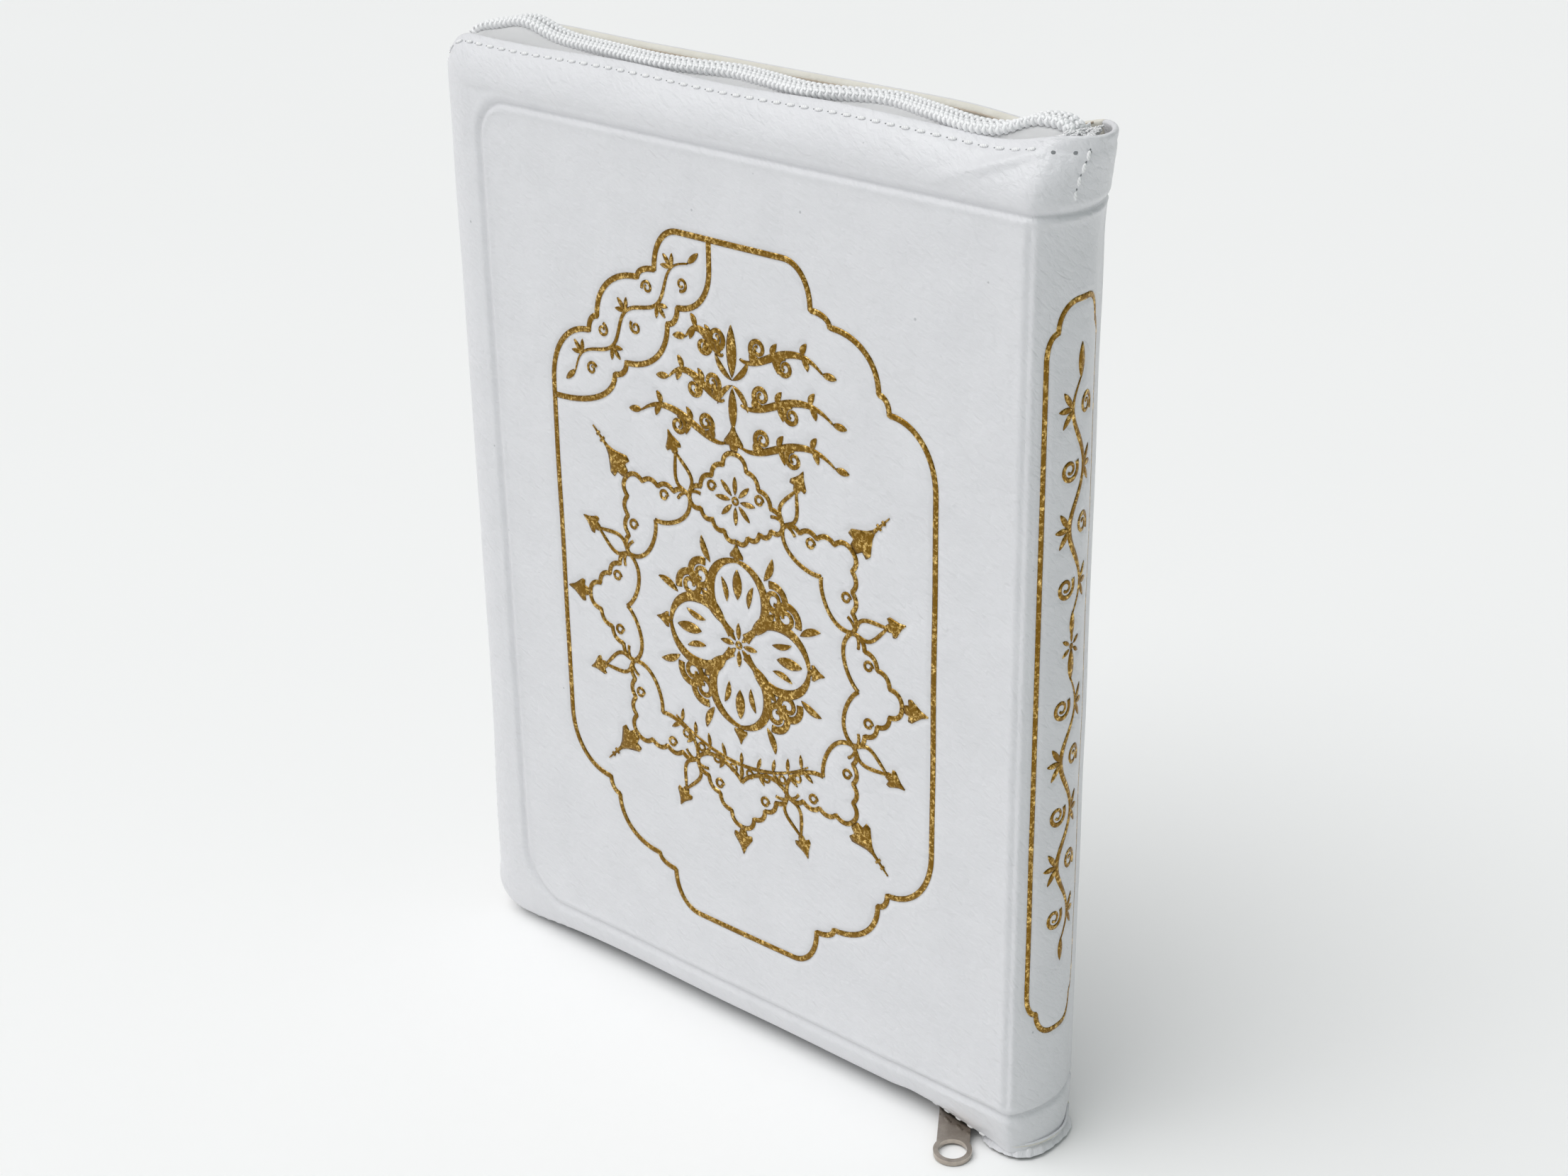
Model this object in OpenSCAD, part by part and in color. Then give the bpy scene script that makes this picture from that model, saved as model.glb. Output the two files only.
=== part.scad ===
// Prayer book in a padded zip-around cover: a sewn book block inside a leatherette
// case that closes with a coil zip on three sides. It stands on its tail, front
// cover to -Y, spine to +X, head to +Z. Origin: floor, centre of the footprint.

/* [Case] */
// Width of the closed case, fore-edge to the middle of the spine
case_w = 158; // [140:1:180]
// Height of the closed case
case_h = 213; // [190:1:240]
// Thickness of the closed case, front face to back face
case_t = 24; // [24:0.5:30]
// Corner radius of the covers, seen from the front
corner_r = 12; // [8:1:16]
// Roll radius of the padded edges
edge_r = 4.6; // [3:0.1:5]
// How far the edges turn in behind the face
rim_depth = 5; // [5:0.1:6]
// Height of the tail edges above the floor, room for the zip pull
tail_gap = 2.5; // [2.2:0.1:4]

/* [Cover layers] */
// Leatherette thickness
leather_t = 0.9; // [0.6:0.1:1.2]
// Foam thickness under the leatherette
foam_t = 1.5; // [1:0.1:2]
// Grey board thickness
board_t = 1.5; // [1:0.1:2]
// Pasted-down lining thickness
lining_t = 0.3; // [0.2:0.1:0.4]
// Bare joint between a cover's board and the spine
joint_gap = 3; // [2:0.5:5]

/* [Spine] */
// How far the rounded spine stands out behind the hinge creases
spine_bulge = 6; // [4:0.5:8]
// Width of the spine strips that carry the book block
spine_strip_w = 6.8; // [4:0.2:7]

/* [Book block] */
// Trimmed page width
page_w = 140; // [120:1:150]
// Trimmed page height
page_h = 198; // [170:1:210]
// Thickness of one folded section of leaves
section_t = 0.8; // [0.6:0.05:1]
// Number of sewn sections
section_count = 19; // [13:2:19]
// Sections that turn with each cover
turning_sections = 5; // [1:1:6]

/* [Zip] */
// Depth of the zip tape below the leather edges
zip_inset = 3.5; // [3:0.1:4]
// Tape thickness
tape_t = 0.5; // [0.4:0.05:0.6]
// Width of each coil row
coil_w = 2.1; // [1.8:0.1:2.4]
// Height of the coil rows
coil_t = 2; // [1.6:0.1:2]
// Space between the two tape and coil edges, where the slider's wedge runs
chain_gap = 1.8; // [1.6:0.1:2.4]
// Slider length
slider_l = 10; // [9:0.5:12]
// Distance from the spine's tip to the middle of the closed slider
slider_from_spine = 27; // [24:1:40]

/* [Zip pull] */
// Distance from the pull's cross bar to the middle of its ring
pull_l = 20.2; // [16:0.2:26]
// Outer radius of the ring
ring_r = 4; // [3.6:0.1:5]
// Radius of the ring's hole
ring_hole_r = 3; // [2.4:0.1:3.2]
// Pull thickness
pull_t = 1.1; // [0.9:0.1:1.2]
// Turn of the resting pull, from the spine towards the front
pull_yaw = 56; // [50:1:62]
// Downward slope of the resting pull
pull_pitch = 3.1; // [2.9:0.1:3.3]

/* [Stitching] */
// Distance from stitch to stitch
stitch_pitch = 3.33; // [3:0.01:4]
// Visible length of one stitch
stitch_l = 2.4; // [1.8:0.1:2.8]
// Thread radius
thread_r = 0.3; // [0.2:0.05:0.35]
// Distance of the seam from the leather edge
seam_inset = 1.8; // [1.4:0.1:2.2]

/* [Gold foil] */
// Half width of the lobed frame
frame_half_w = 50.2; // [44:0.2:54]
// Half height of the lobed frame
frame_half_h = 77.4; // [70:0.2:84]
// Foil line width
foil_line = 1.2; // [0.8:0.1:1.6]
// Half side of the two squares that make the star
star_half = 30.1; // [26:0.1:32]
// Foil thickness
foil_t = 0.12; // [0.08:0.02:0.2]

/* [Hidden] */
$fn = 64;

// Places
x_fore = -case_w / 2;
x_tip = case_w / 2;
x_crease = x_tip - spine_bulge;
// The pull's ring reaches this far out in front of the front face
pull_reach = pull_l * sin(pull_yaw) + ring_r - case_t / 2;
y_front = (pull_reach - case_t) / 2;
y_mid = y_front + case_t / 2;
y_back = y_front + case_t;
hinge_gap = 0.2;
x_cover_end = x_crease - hinge_gap;

// Spine arc through both creases and the spine's tip
spine_r = (pow(case_t / 2, 2) + pow(spine_bulge, 2)) / (2 * spine_bulge);
x_spine_c = x_tip - spine_r;

// Book block
block_t = section_t * section_count;
y_block = y_mid - block_t / 2;
x_block_spine = x_tip - 8.5;
x_block_fore = x_block_spine - page_w;
z_block = tail_gap + 6;
section_gap = 0.02;
fold_ease = 0.2;
body_gap = 0.1;
flyleaf_t = 0.1;

// Spine strips, from the block outwards
glue_t = 0.5;
cloth_t = 0.3;
tube_t = 2.3;
tube_wall = 0.3;
spine_board_t = 1;
strip_inset = 3.5;
x_glue = x_block_spine;
x_cloth = x_glue + glue_t;
x_tube = x_cloth + cloth_t;
x_spine_board = x_tube + tube_t;
x_spine_foam = x_spine_board + spine_board_t;
band_r = 0.8;
lip_w = 4.4;

// Zip
coil_inset = zip_inset - coil_t;
zip_start = 4;
stop_l = 2.4;
z_tape = tail_gap + zip_inset;
z_coil = z_tape - coil_t;
x_slider = x_tip - slider_from_spine;
x_tail_stop = x_slider + 8;
play = 0.2;
plate_t = 0.9;
shoulder_w = 9.6;
heel_w = 7.4;
wedge_w = 1.2;
bridge_low = 0.3;
bridge_t = 0.9;
bridge_w = 1;
bridge_window = 3.8;
z_plate = z_coil - play - plate_t;
z_pull = (bridge_low + bridge_t + z_plate) / 2;
eye_bar_r = 0.5;
eye_half = 2.9;
eye_rail = 1;
eye_l = 3.5;
shaft_half = 3.4;

// Decoration centres
x_design = x_fore + 82.1;
z_frame = 103.4;
z_star = 95.4;

// ---------- Shared shapes ----------

// Draws its 2D child, an outline in X and Z, as a slab from y_a to y_b.
module slab_xz(y_a, y_b) {
    translate([0, y_b, 0])
        rotate([90, 0, 0])
            linear_extrude(y_b - y_a) children();
}

// Draws its child as it is, or mirrored from the front half to the back half.
module on_side(back) {
    if (back)
        translate([0, 2 * y_mid, 0]) mirror([0, 1, 0]) children();
    else
        children();
}

// Rectangle with all four corners rounded, by its two corners.
module round_rect(lo, hi, r) {
    translate([lo.x + r, lo.y]) square([hi.x - lo.x - 2 * r, hi.y - lo.y]);
    translate([lo.x, lo.y + r]) square([hi.x - lo.x, hi.y - lo.y - 2 * r]);
    for (x = [lo.x + r, hi.x - r], y = [lo.y + r, hi.y - r])
        translate([x, y]) circle(r);
}

// Cover outline, open towards the spine: rounded at the fore-edge only.
module cover_outline(inset, x_end) {
    intersection() {
        round_rect(
            [x_fore + inset, tail_gap + inset],
            [x_tip + 60, case_h - inset],
            corner_r - inset
        );
        translate([x_fore - 1, 0]) square([x_end - x_fore + 1, case_h + 1]);
    }
}

// Disc with a rolled rim, its axis along Y, between two angles.
module rolled_disc(inset, depth, from, to) {
    rotate([-90, 0, 0])
        rotate([0, 0, from])
            rotate_extrude(angle = to - from)
                intersection() {
                    round_rect([-20, 0], [corner_r - inset, 20], edge_r - inset);
                    square([corner_r, depth - inset]);
                }
}

// Straight part of a cover blank: head, fore-edge and tail rolled, corners cut away.
module straight_blank(inset, depth, x_end) {
    roll = edge_r - inset;
    far = y_front + 40;
    difference() {
        intersection() {
            block(
                [x_fore + inset, y_front + inset, tail_gap + inset],
                [x_end, y_front + depth, case_h - inset]
            );
            translate([x_fore - 5, 0, 0])
                rotate([90, 0, 90])
                    linear_extrude(case_w + 10)
                        round_rect([y_front + inset, tail_gap + inset], [far, case_h - inset], roll);
            translate([0, 0, -5])
                linear_extrude(case_h + 10)
                    round_rect([x_fore + inset, y_front + inset], [x_tip + 60, far], roll);
        }
        for (z = [corner_r - 20, case_h - corner_r])
            block([x_fore - 1, y_front - 1, z], [x_fore + corner_r, y_front + 20, z + 20]);
    }
}

// Cover blank, `inset` inside the outer skin. Its tail corner sags to the floor.
module cover_blank(inset, depth, x_end) {
    straight_blank(inset, depth, x_end);
    translate([x_fore + corner_r, y_front + inset, case_h - corner_r])
        rolled_disc(inset, depth, 180, 270);
    translate([x_fore + corner_r, y_front + inset, corner_r])
        rolled_disc(inset, depth, 0, 180);
}

// Band that follows head, fore-edge and tail between two insets.
module edge_band(inset_a, inset_b, x_end) {
    difference() {
        cover_outline(inset_a, x_end);
        cover_outline(inset_b, x_end + 1);
    }
}

// Box by two corners.
module block(lo, hi) {
    translate(lo) cube(hi - lo);
}

// ---------- Covers ----------

module cover_leather(back) {
    on_side(back)
        difference() {
            cover_blank(0, rim_depth, x_cover_end);
            cover_blank(leather_t, rim_depth + 1, x_cover_end + 1);
        }
}

module cover_padding(back) {
    on_side(back)
        cover_blank(leather_t, leather_t + foam_t, x_crease - joint_gap);
}

module cover_board(back) {
    y = y_front + leather_t + foam_t;
    on_side(back)
        slab_xz(y, y + board_t)
            cover_outline(4, x_crease - joint_gap);
}

module cover_lining(back) {
    y = y_front + leather_t + foam_t + board_t;
    on_side(back)
        slab_xz(y, y + lining_t)
            cover_outline(2, x_crease - joint_gap);
}

module front_leather() { color([0.93, 0.93, 0.95]) cover_leather(false); }
module front_padding() { color([0.97, 0.95, 0.86]) cover_padding(false); }
module front_board() { color([0.62, 0.6, 0.56]) cover_board(false); }
module front_lining() { color([0.93, 0.9, 0.82]) cover_lining(false); }
module back_leather() { color([0.93, 0.93, 0.95]) cover_leather(true); }
module back_padding() { color([0.97, 0.95, 0.86]) cover_padding(true); }
module back_board() { color([0.62, 0.6, 0.56]) cover_board(true); }
module back_lining() { color([0.93, 0.9, 0.82]) cover_lining(true); }

// ---------- Spine ----------

// Slice of the spine's round, between two radii, behind the hinge creases.
module spine_arc(r_in, r_out, z_a, z_b) {
    translate([0, 0, z_a])
        linear_extrude(z_b - z_a)
            intersection() {
                difference() {
                    translate([x_spine_c, y_mid]) circle(r_out, $fn = 128);
                    translate([x_spine_c, y_mid]) circle(r_in, $fn = 128);
                }
                translate([x_crease, y_front]) square([spine_bulge + 1, case_t]);
            }
}

module spine_leather() {
    color([0.9, 0.92, 0.93])
        spine_arc(spine_r - leather_t, spine_r, leather_t, case_h);
}

// The half-round end of the spine that spreads on the floor.
module tail_lip() {
    color([0.9, 0.92, 0.93])
        spine_arc(spine_r - lip_w, spine_r, 0, leather_t);
}

module spine_padding() {
    half = spine_strip_w / 2;
    color([0.97, 0.95, 0.86])
        translate([0, 0, z_block])
            linear_extrude(page_h)
                intersection() {
                    translate([x_spine_c, y_mid]) circle(spine_r - leather_t, $fn = 128);
                    translate([x_spine_foam, y_mid - half]) square([10, spine_strip_w]);
                }
}

// Flat strip behind the block's spine, from x_a, t thick.
module spine_strip(x_a, t, end_inset) {
    half = spine_strip_w / 2;
    block(
        [x_a, y_mid - half, z_block + end_inset],
        [x_a + t, y_mid + half, z_block + page_h - end_inset]
    );
}

module spine_board() {
    color([0.62, 0.6, 0.56]) spine_strip(x_spine_board, spine_board_t, 0);
}

// Flattened paper tube that lets the spine open away from the block.
module spine_tube() {
    half = spine_strip_w / 2 - tube_wall;
    color([0.72, 0.6, 0.42])
        difference() {
            spine_strip(x_tube, tube_t, strip_inset);
            block(
                [x_tube + tube_wall, y_mid - half, z_block],
                [x_tube + tube_t - tube_wall, y_mid + half, z_block + page_h]
            );
        }
}

module spine_cloth() {
    color([0.92, 0.91, 0.86]) spine_strip(x_cloth, cloth_t, strip_inset);
}

module spine_glue() {
    color([0.93, 0.86, 0.62]) spine_strip(x_glue, glue_t, 0);
}

// Woven bead across the end of the block's spine.
module end_band(z) {
    translate([x_block_spine, y_mid - spine_strip_w / 2, z])
        rotate([-90, 0, 0]) cylinder(r = band_r, h = spine_strip_w);
}

module head_band() {
    color([0.86, 0.8, 0.6]) end_band(z_block + page_h + band_r);
}

module tail_band() {
    color([0.86, 0.8, 0.6]) end_band(z_block - band_r);
}

// ---------- Book block ----------

// Sewn sections from number a to number b, each with its fold eased at the spine.
module sections(a, b, gap_low, gap_high) {
    x_0 = x_block_fore;
    x_1 = x_block_spine;
    for (i = [a : b]) {
        low = i == a ? gap_low : 0;
        high = i == b ? gap_high : 0;
        y_0 = y_block + i * section_t + low;
        y_1 = y_block + (i + 1) * section_t - section_gap - high;
        translate([0, 0, z_block])
            linear_extrude(page_h)
                polygon([
                    [x_0, y_0], [x_1 - fold_ease, y_0], [x_1, y_0 + fold_ease],
                    [x_1, y_1 - fold_ease], [x_1 - fold_ease, y_1], [x_0, y_1]
                ]);
    }
}

module front_sections() {
    color([0.96, 0.94, 0.85]) sections(0, turning_sections - 1, 0, body_gap);
}

module middle_sections() {
    color([0.96, 0.94, 0.85])
        sections(turning_sections, section_count - turning_sections - 1, 0, 0);
}

module back_sections() {
    color([0.96, 0.94, 0.85])
        sections(section_count - turning_sections, section_count - 1, body_gap, 0);
}

// Blank leaf tipped on to the outer section.
module flyleaf(back) {
    inset = 0.5;
    on_side(back)
        block(
            [x_block_fore + inset, y_block - flyleaf_t, z_block],
            [x_block_spine - inset, y_block, z_block + page_h]
        );
}

module front_flyleaf() { color([0.95, 0.92, 0.8]) flyleaf(false); }
module back_flyleaf() { color([0.95, 0.92, 0.8]) flyleaf(true); }

// ---------- Zip ----------

// Tape: a flange behind the leather edge and a strip across to the chain.
module zip_tape(back) {
    y_rim = y_front + rim_depth;
    x_end = x_cover_end - zip_start;
    on_side(back) {
        slab_xz(y_rim, y_rim + tape_t)
            edge_band(0.3, zip_inset + tape_t, x_end);
        slab_xz(y_rim, y_mid - chain_gap / 2)
            edge_band(zip_inset, zip_inset + tape_t, x_end);
    }
}

// Coil row on the outer face of the tape. At the tail it stops at the end stop.
module zip_coil(back) {
    y_edge = y_mid - chain_gap / 2;
    on_side(back)
        difference() {
            slab_xz(y_edge - coil_w, y_edge)
                edge_band(coil_inset, zip_inset, x_cover_end - zip_start);
            block(
                [x_tail_stop - play, y_edge - coil_w - 1, 0],
                [x_tip, y_edge + 1, z_tape + 1]
            );
        }
}

module zip_stop(back) {
    y_edge = y_mid - chain_gap / 2;
    on_side(back)
        block(
            [x_tail_stop, y_edge - coil_w, z_coil],
            [x_tail_stop + stop_l, y_edge, z_tape]
        );
}

module front_zip_tape() { color([0.95, 0.95, 0.96]) zip_tape(false); }
module back_zip_tape() { color([0.95, 0.95, 0.96]) zip_tape(true); }
module front_zip_coil() { color([0.98, 0.98, 0.99]) zip_coil(false); }
module back_zip_coil() { color([0.98, 0.98, 0.99]) zip_coil(true); }
module front_zip_stop() { color([0.75, 0.75, 0.76]) zip_stop(false); }
module back_zip_stop() { color([0.75, 0.75, 0.76]) zip_stop(true); }

// Stop that holds both rows together where the zip starts, inside the spine's head.
module zip_end_stop() {
    x = x_crease + 0.3;
    z = case_h - zip_inset;
    half = chain_gap / 2 + coil_w;
    color([0.75, 0.75, 0.76])
        block([x, y_mid - half, z], [x + stop_l, y_mid + half, z + coil_t]);
}

// The slider's plan outline, wide at the end that leads when it closes.
module slider_plan() {
    half_l = slider_l / 2;
    polygon([
        [-half_l, -heel_w / 2], [half_l - 3, -shoulder_w / 2], [half_l, -shoulder_w / 2 + 1.2],
        [half_l, -wedge_w], [half_l - 1, 0], [half_l, wedge_w],
        [half_l, shoulder_w / 2 - 1.2], [half_l - 3, shoulder_w / 2], [-half_l, heel_w / 2]
    ]);
}

module slider_body() {
    half_l = slider_l / 2;
    leg = bridge_window / 2;
    z_inner = z_tape + tape_t + play;
    y_lip = chain_gap / 2 + coil_w + play;
    color([0.78, 0.76, 0.73])
        translate([x_slider, y_mid, 0]) {
            // outer and inner plates
            translate([0, 0, z_plate]) linear_extrude(plate_t) slider_plan();
            translate([0, 0, z_inner]) linear_extrude(plate_t - 0.1) slider_plan();
            // wedge that joins the plates between the two rows
            block(
                [half_l - 3.2, -wedge_w / 2, z_plate],
                [half_l - 1, wedge_w / 2, z_inner + play]
            );
            // lip that keeps the back row in; the front row leaves sideways
            block(
                [-half_l + 0.5, y_lip, z_plate],
                [half_l - 3, y_lip + 0.5, z_plate + plate_t + 1.2]
            );
            // bridge that carries the pull
            block(
                [-leg - bridge_t, -bridge_w / 2, bridge_low],
                [leg + bridge_t, bridge_w / 2, bridge_low + bridge_t]
            );
            for (side = [-1, 1])
                translate([side * (leg + bridge_t / 2), 0, 0])
                    block(
                        [-bridge_t / 2, -bridge_w / 2, bridge_low],
                        [bridge_t / 2, bridge_w / 2, z_plate + 0.1]
                    );
        }
}

// Pull drawn along +X from its cross bar, then laid in place.
module zip_pull() {
    eye_edge = eye_half + eye_rail;
    color([0.78, 0.75, 0.7])
        translate([x_slider, y_mid, z_pull])
            rotate([0, 0, -pull_yaw])
                rotate([0, pull_pitch, 0]) {
                    translate([0, eye_edge, 0])
                        rotate([90, 0, 0]) cylinder(r = eye_bar_r, h = 2 * eye_edge);
                    for (side = [-1, 1])
                        translate([0, side * (eye_half + eye_rail / 2), 0])
                            block(
                                [0, -eye_rail / 2, -eye_bar_r + 0.05],
                                [eye_l + 0.5, eye_rail / 2, eye_bar_r - 0.05]
                            );
                    translate([0, 0, -pull_t / 2])
                        difference() {
                            linear_extrude(pull_t) {
                                polygon([
                                    [eye_l, -eye_edge], [eye_l + 4, -shaft_half],
                                    [pull_l, -shaft_half], [pull_l, shaft_half],
                                    [eye_l + 4, shaft_half], [eye_l, eye_edge]
                                ]);
                                translate([pull_l, 0]) circle(ring_r);
                            }
                            translate([pull_l, 0, -1]) cylinder(r = ring_hole_r, h = pull_t + 2);
                        }
                }
}

// ---------- Stitching ----------

// Seam place on the rolled edge: how far in from the outline and behind the face.
roll_angle = asin((edge_r - seam_inset) / edge_r);
seam_r = edge_r + thread_r + 0.02;
seam_in = edge_r - seam_r * sin(roll_angle);
seam_y = edge_r - seam_r * cos(roll_angle);

// One stitch along X.
module stitch() {
    translate([-stitch_l / 2, 0, 0]) rotate([0, 90, 0]) cylinder(r = thread_r, h = stitch_l, $fn = 16);
}

// Row of stitches along X from x_a to x_b at height z.
module stitch_row(x_a, x_b, z) {
    count = floor((x_b - x_a) / stitch_pitch);
    for (i = [0 : count - 1])
        translate([x_a + (i + 0.5) * stitch_pitch, y_front + seam_y, z]) stitch();
}

// Stitches round a corner between two angles.
module stitch_corner(x_c, z_c, from, to) {
    r = corner_r - seam_in;
    count = floor((to - from) * PI / 180 * r / stitch_pitch);
    step = (to - from) / count;
    for (i = [0 : count - 1]) {
        a = from + (i + 0.5) * step;
        translate([x_c + r * cos(a), y_front + seam_y, z_c + r * sin(a)])
            rotate([0, 90 - a, 0]) stitch();
    }
}

module cover_stitches(back) {
    x_c = x_fore + corner_r;
    z_head = case_h - seam_in;
    z_tail = tail_gap + seam_in;
    r = corner_r - seam_in;
    rise = acos((corner_r - z_tail) / r);
    x_foot = x_c + r * sin(rise);
    on_side(back) {
        stitch_row(x_c, x_cover_end - 1, z_head);
        stitch_row(x_foot + 0.4, x_cover_end - 1, z_tail);
        translate([x_fore + seam_in, 0, 0])
            rotate([0, -90, 0]) stitch_row(corner_r, case_h - corner_r, 0);
        stitch_corner(x_c, case_h - corner_r, 90, 180);
        stitch_corner(x_c, corner_r, 180, 270 + rise);
    }
}

module front_stitches() { color([0.97, 0.97, 0.98]) cover_stitches(false); }
module back_stitches() { color([0.97, 0.97, 0.98]) cover_stitches(true); }

// Short seam down the head of the spine, over the end of the zip.
module spine_stitches() {
    angle = -24;
    r = spine_r + thread_r + 0.02;
    color([0.97, 0.97, 0.98])
        for (i = [0 : 3])
            translate([x_spine_c + r * cos(angle), y_mid + r * sin(angle),
                       case_h - 1 - (i + 0.5) * stitch_pitch])
                rotate([0, 90, 0]) stitch();
}

// ---------- Gold foil ----------

// Lobed frame: three stepped rounded panels with a bead in each step.
module lobed_frame(inset) {
    steps = [
        [frame_half_w, frame_half_h - 25.4, 14],
        [frame_half_w - 13.6, frame_half_h - 11.4, 12],
        [frame_half_w - 30.1, frame_half_h, 8]
    ];
    beads = [
        [frame_half_w - 12.3, frame_half_h - 23.6],
        [frame_half_w - 27.7, frame_half_h - 10.1]
    ];
    for (s = steps)
        round_rect([-s[0] + inset, -s[1] + inset], [s[0] - inset, s[1] - inset], s[2] - inset);
    for (b = beads, sx = [-1, 1], sz = [-1, 1])
        translate([sx * b[0], sz * b[1]]) circle(2.6 - inset);
}

module square_ring(turn) {
    rotate(turn)
        difference() {
            square(2 * star_half, center = true);
            square(2 * (star_half - foil_line), center = true);
        }
}

module front_foil() {
    finial_r = 2.2;
    tip = star_half * sqrt(2) + 1;
    color([0.72, 0.55, 0.2])
        slab_xz(y_front - foil_t, y_front) {
            translate([x_design, z_frame])
                difference() {
                    lobed_frame(0);
                    lobed_frame(foil_line);
                }
            translate([x_design, z_star]) {
                square_ring(0);
                square_ring(45);
                for (i = [0 : 7])
                    rotate(i * 45) translate([tip, 0]) circle(finial_r);
            }
        }
}

// Round-ended frame on the spine, in Y and Z.
module spine_frame(inset) {
    half_w = 8.5;
    round_rect(
        [y_mid - half_w + inset, 36 + inset],
        [y_mid + half_w - inset, 187 - inset],
        half_w - 1 - inset
    );
}

module spine_foil() {
    color([0.72, 0.55, 0.2])
        intersection() {
            spine_arc(spine_r, spine_r + foil_t, 30, case_h - 20);
            translate([x_crease + 0.5, 0, 0])
                rotate([90, 0, 90])
                    linear_extrude(spine_bulge + 1)
                        difference() {
                            spine_frame(0);
                            spine_frame(foil_line);
                        }
        }
}

front_leather();
front_padding();
front_board();
front_lining();
back_leather();
back_padding();
back_board();
back_lining();
spine_leather();
tail_lip();
spine_padding();
spine_board();
spine_tube();
spine_cloth();
spine_glue();
head_band();
tail_band();
middle_sections();
front_sections();
back_sections();
front_flyleaf();
back_flyleaf();
front_zip_tape();
back_zip_tape();
front_zip_coil();
back_zip_coil();
front_zip_stop();
back_zip_stop();
zip_end_stop();
slider_body();
zip_pull();
front_stitches();
back_stitches();
spine_stitches();
front_foil();
spine_foil();
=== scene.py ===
import math

import bpy
import numpy as np
from mathutils import Matrix, Vector


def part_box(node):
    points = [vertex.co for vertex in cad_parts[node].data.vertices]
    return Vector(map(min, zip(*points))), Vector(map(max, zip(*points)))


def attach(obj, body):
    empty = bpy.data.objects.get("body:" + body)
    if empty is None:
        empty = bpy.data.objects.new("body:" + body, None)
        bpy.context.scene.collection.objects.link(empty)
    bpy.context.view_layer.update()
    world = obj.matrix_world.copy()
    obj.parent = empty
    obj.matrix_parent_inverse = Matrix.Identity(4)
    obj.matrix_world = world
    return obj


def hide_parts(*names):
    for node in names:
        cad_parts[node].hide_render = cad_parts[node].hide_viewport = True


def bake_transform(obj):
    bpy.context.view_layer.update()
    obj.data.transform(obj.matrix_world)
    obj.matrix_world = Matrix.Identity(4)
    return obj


# Looks of the prayer book: padded white leatherette, coil zip, gold foil ornament and
# sewn leaves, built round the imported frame. Shapes are worked out in millimetres in
# the frame's own axes and scaled to metres when a mesh is made.

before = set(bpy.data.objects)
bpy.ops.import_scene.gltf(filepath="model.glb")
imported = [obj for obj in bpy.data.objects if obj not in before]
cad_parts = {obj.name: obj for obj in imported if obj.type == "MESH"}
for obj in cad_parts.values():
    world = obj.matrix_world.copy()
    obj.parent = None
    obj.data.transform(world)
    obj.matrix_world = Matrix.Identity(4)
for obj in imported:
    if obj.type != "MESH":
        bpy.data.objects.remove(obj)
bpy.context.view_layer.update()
MM = 1000.0
UV_MM = 100.0  # a UV unit of the leather is a decimetre along the skin


def box_mm(node):
    """Lowest and highest corner of a CAD node, in millimetres."""
    low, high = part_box(node)
    return np.array(low) * MM, np.array(high) * MM


# ---------- Places, from the frame ----------

COVER_LOW, COVER_HIGH = box_mm("front_leather")
SPINE_LOW, SPINE_HIGH = box_mm("spine_leather")
BACK_HIGH = box_mm("back_leather")[1]
TAPE_LOW = box_mm("front_zip_tape")[0]
X_FORE = COVER_LOW[0]
X_CREASE = SPINE_LOW[0]
X_TIP = SPINE_HIGH[0]
Y_FRONT = COVER_LOW[1]
Y_BACK = BACK_HIGH[1]
Y_MID = (Y_FRONT + Y_BACK) / 2
HALF_T = (Y_BACK - Y_FRONT) / 2
Z_HEAD = COVER_HIGH[2]
Z_TAIL = TAPE_LOW[2] - 0.3

BULGE = X_TIP - X_CREASE
SPINE_R = (HALF_T**2 + BULGE**2) / (2 * BULGE)
ARC_HALF = math.asin(HALF_T / SPINE_R)
S_CREASE = X_CREASE - X_FORE
S_ARC = 2 * ARC_HALF * SPINE_R
S_TIP = S_CREASE + S_ARC / 2
S_BACK_CREASE = S_CREASE + S_ARC
S_END = S_BACK_CREASE + S_CREASE

CORNER = 12.0  # outline radius of the covers, and the width of their rolled margins
CORNER_FILL = 0.17  # how far the stuffed corners stand out beyond that radius
S_CORE = CORNER
Z_CORE_LOW = Z_TAIL + CORNER
Z_CORE_HIGH = Z_HEAD - CORNER

# The groove pressed round each panel, and on round the spine
GROOVE_S = 14.0
GROOVE_LOW = 11.0
GROOVE_HIGH = Z_HEAD - 14.0
GROOVE_R_HEAD = 8.0
GROOVE_R_TAIL = 12.0

# Foil ornament: its centre line and the centres of frame and star, in s and z
DESIGN_S = 82.1
FRAME_Z = 103.4
STAR_Z = 95.4
DEBOSS = 0.22


def smooth(x, low, high):
    """0 below low, 1 above high, and a smooth step between."""
    t = np.clip((x - low) / (high - low), 0, 1)
    return t * t * (3 - 2 * t)


def bell(x, centre, width):
    return np.exp(-(((x - centre) / width) ** 2))


def bezier(a, b, c, d, t):
    return a * (1 - t) ** 3 + 3 * b * t * (1 - t) ** 2 + 3 * c * t**2 * (1 - t) + d * t**3


# ---------- Case path: front face, round the spine, back face ----------


PATH_STEP = 0.25
CREASE_SOFTNESS = 1.2


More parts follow.
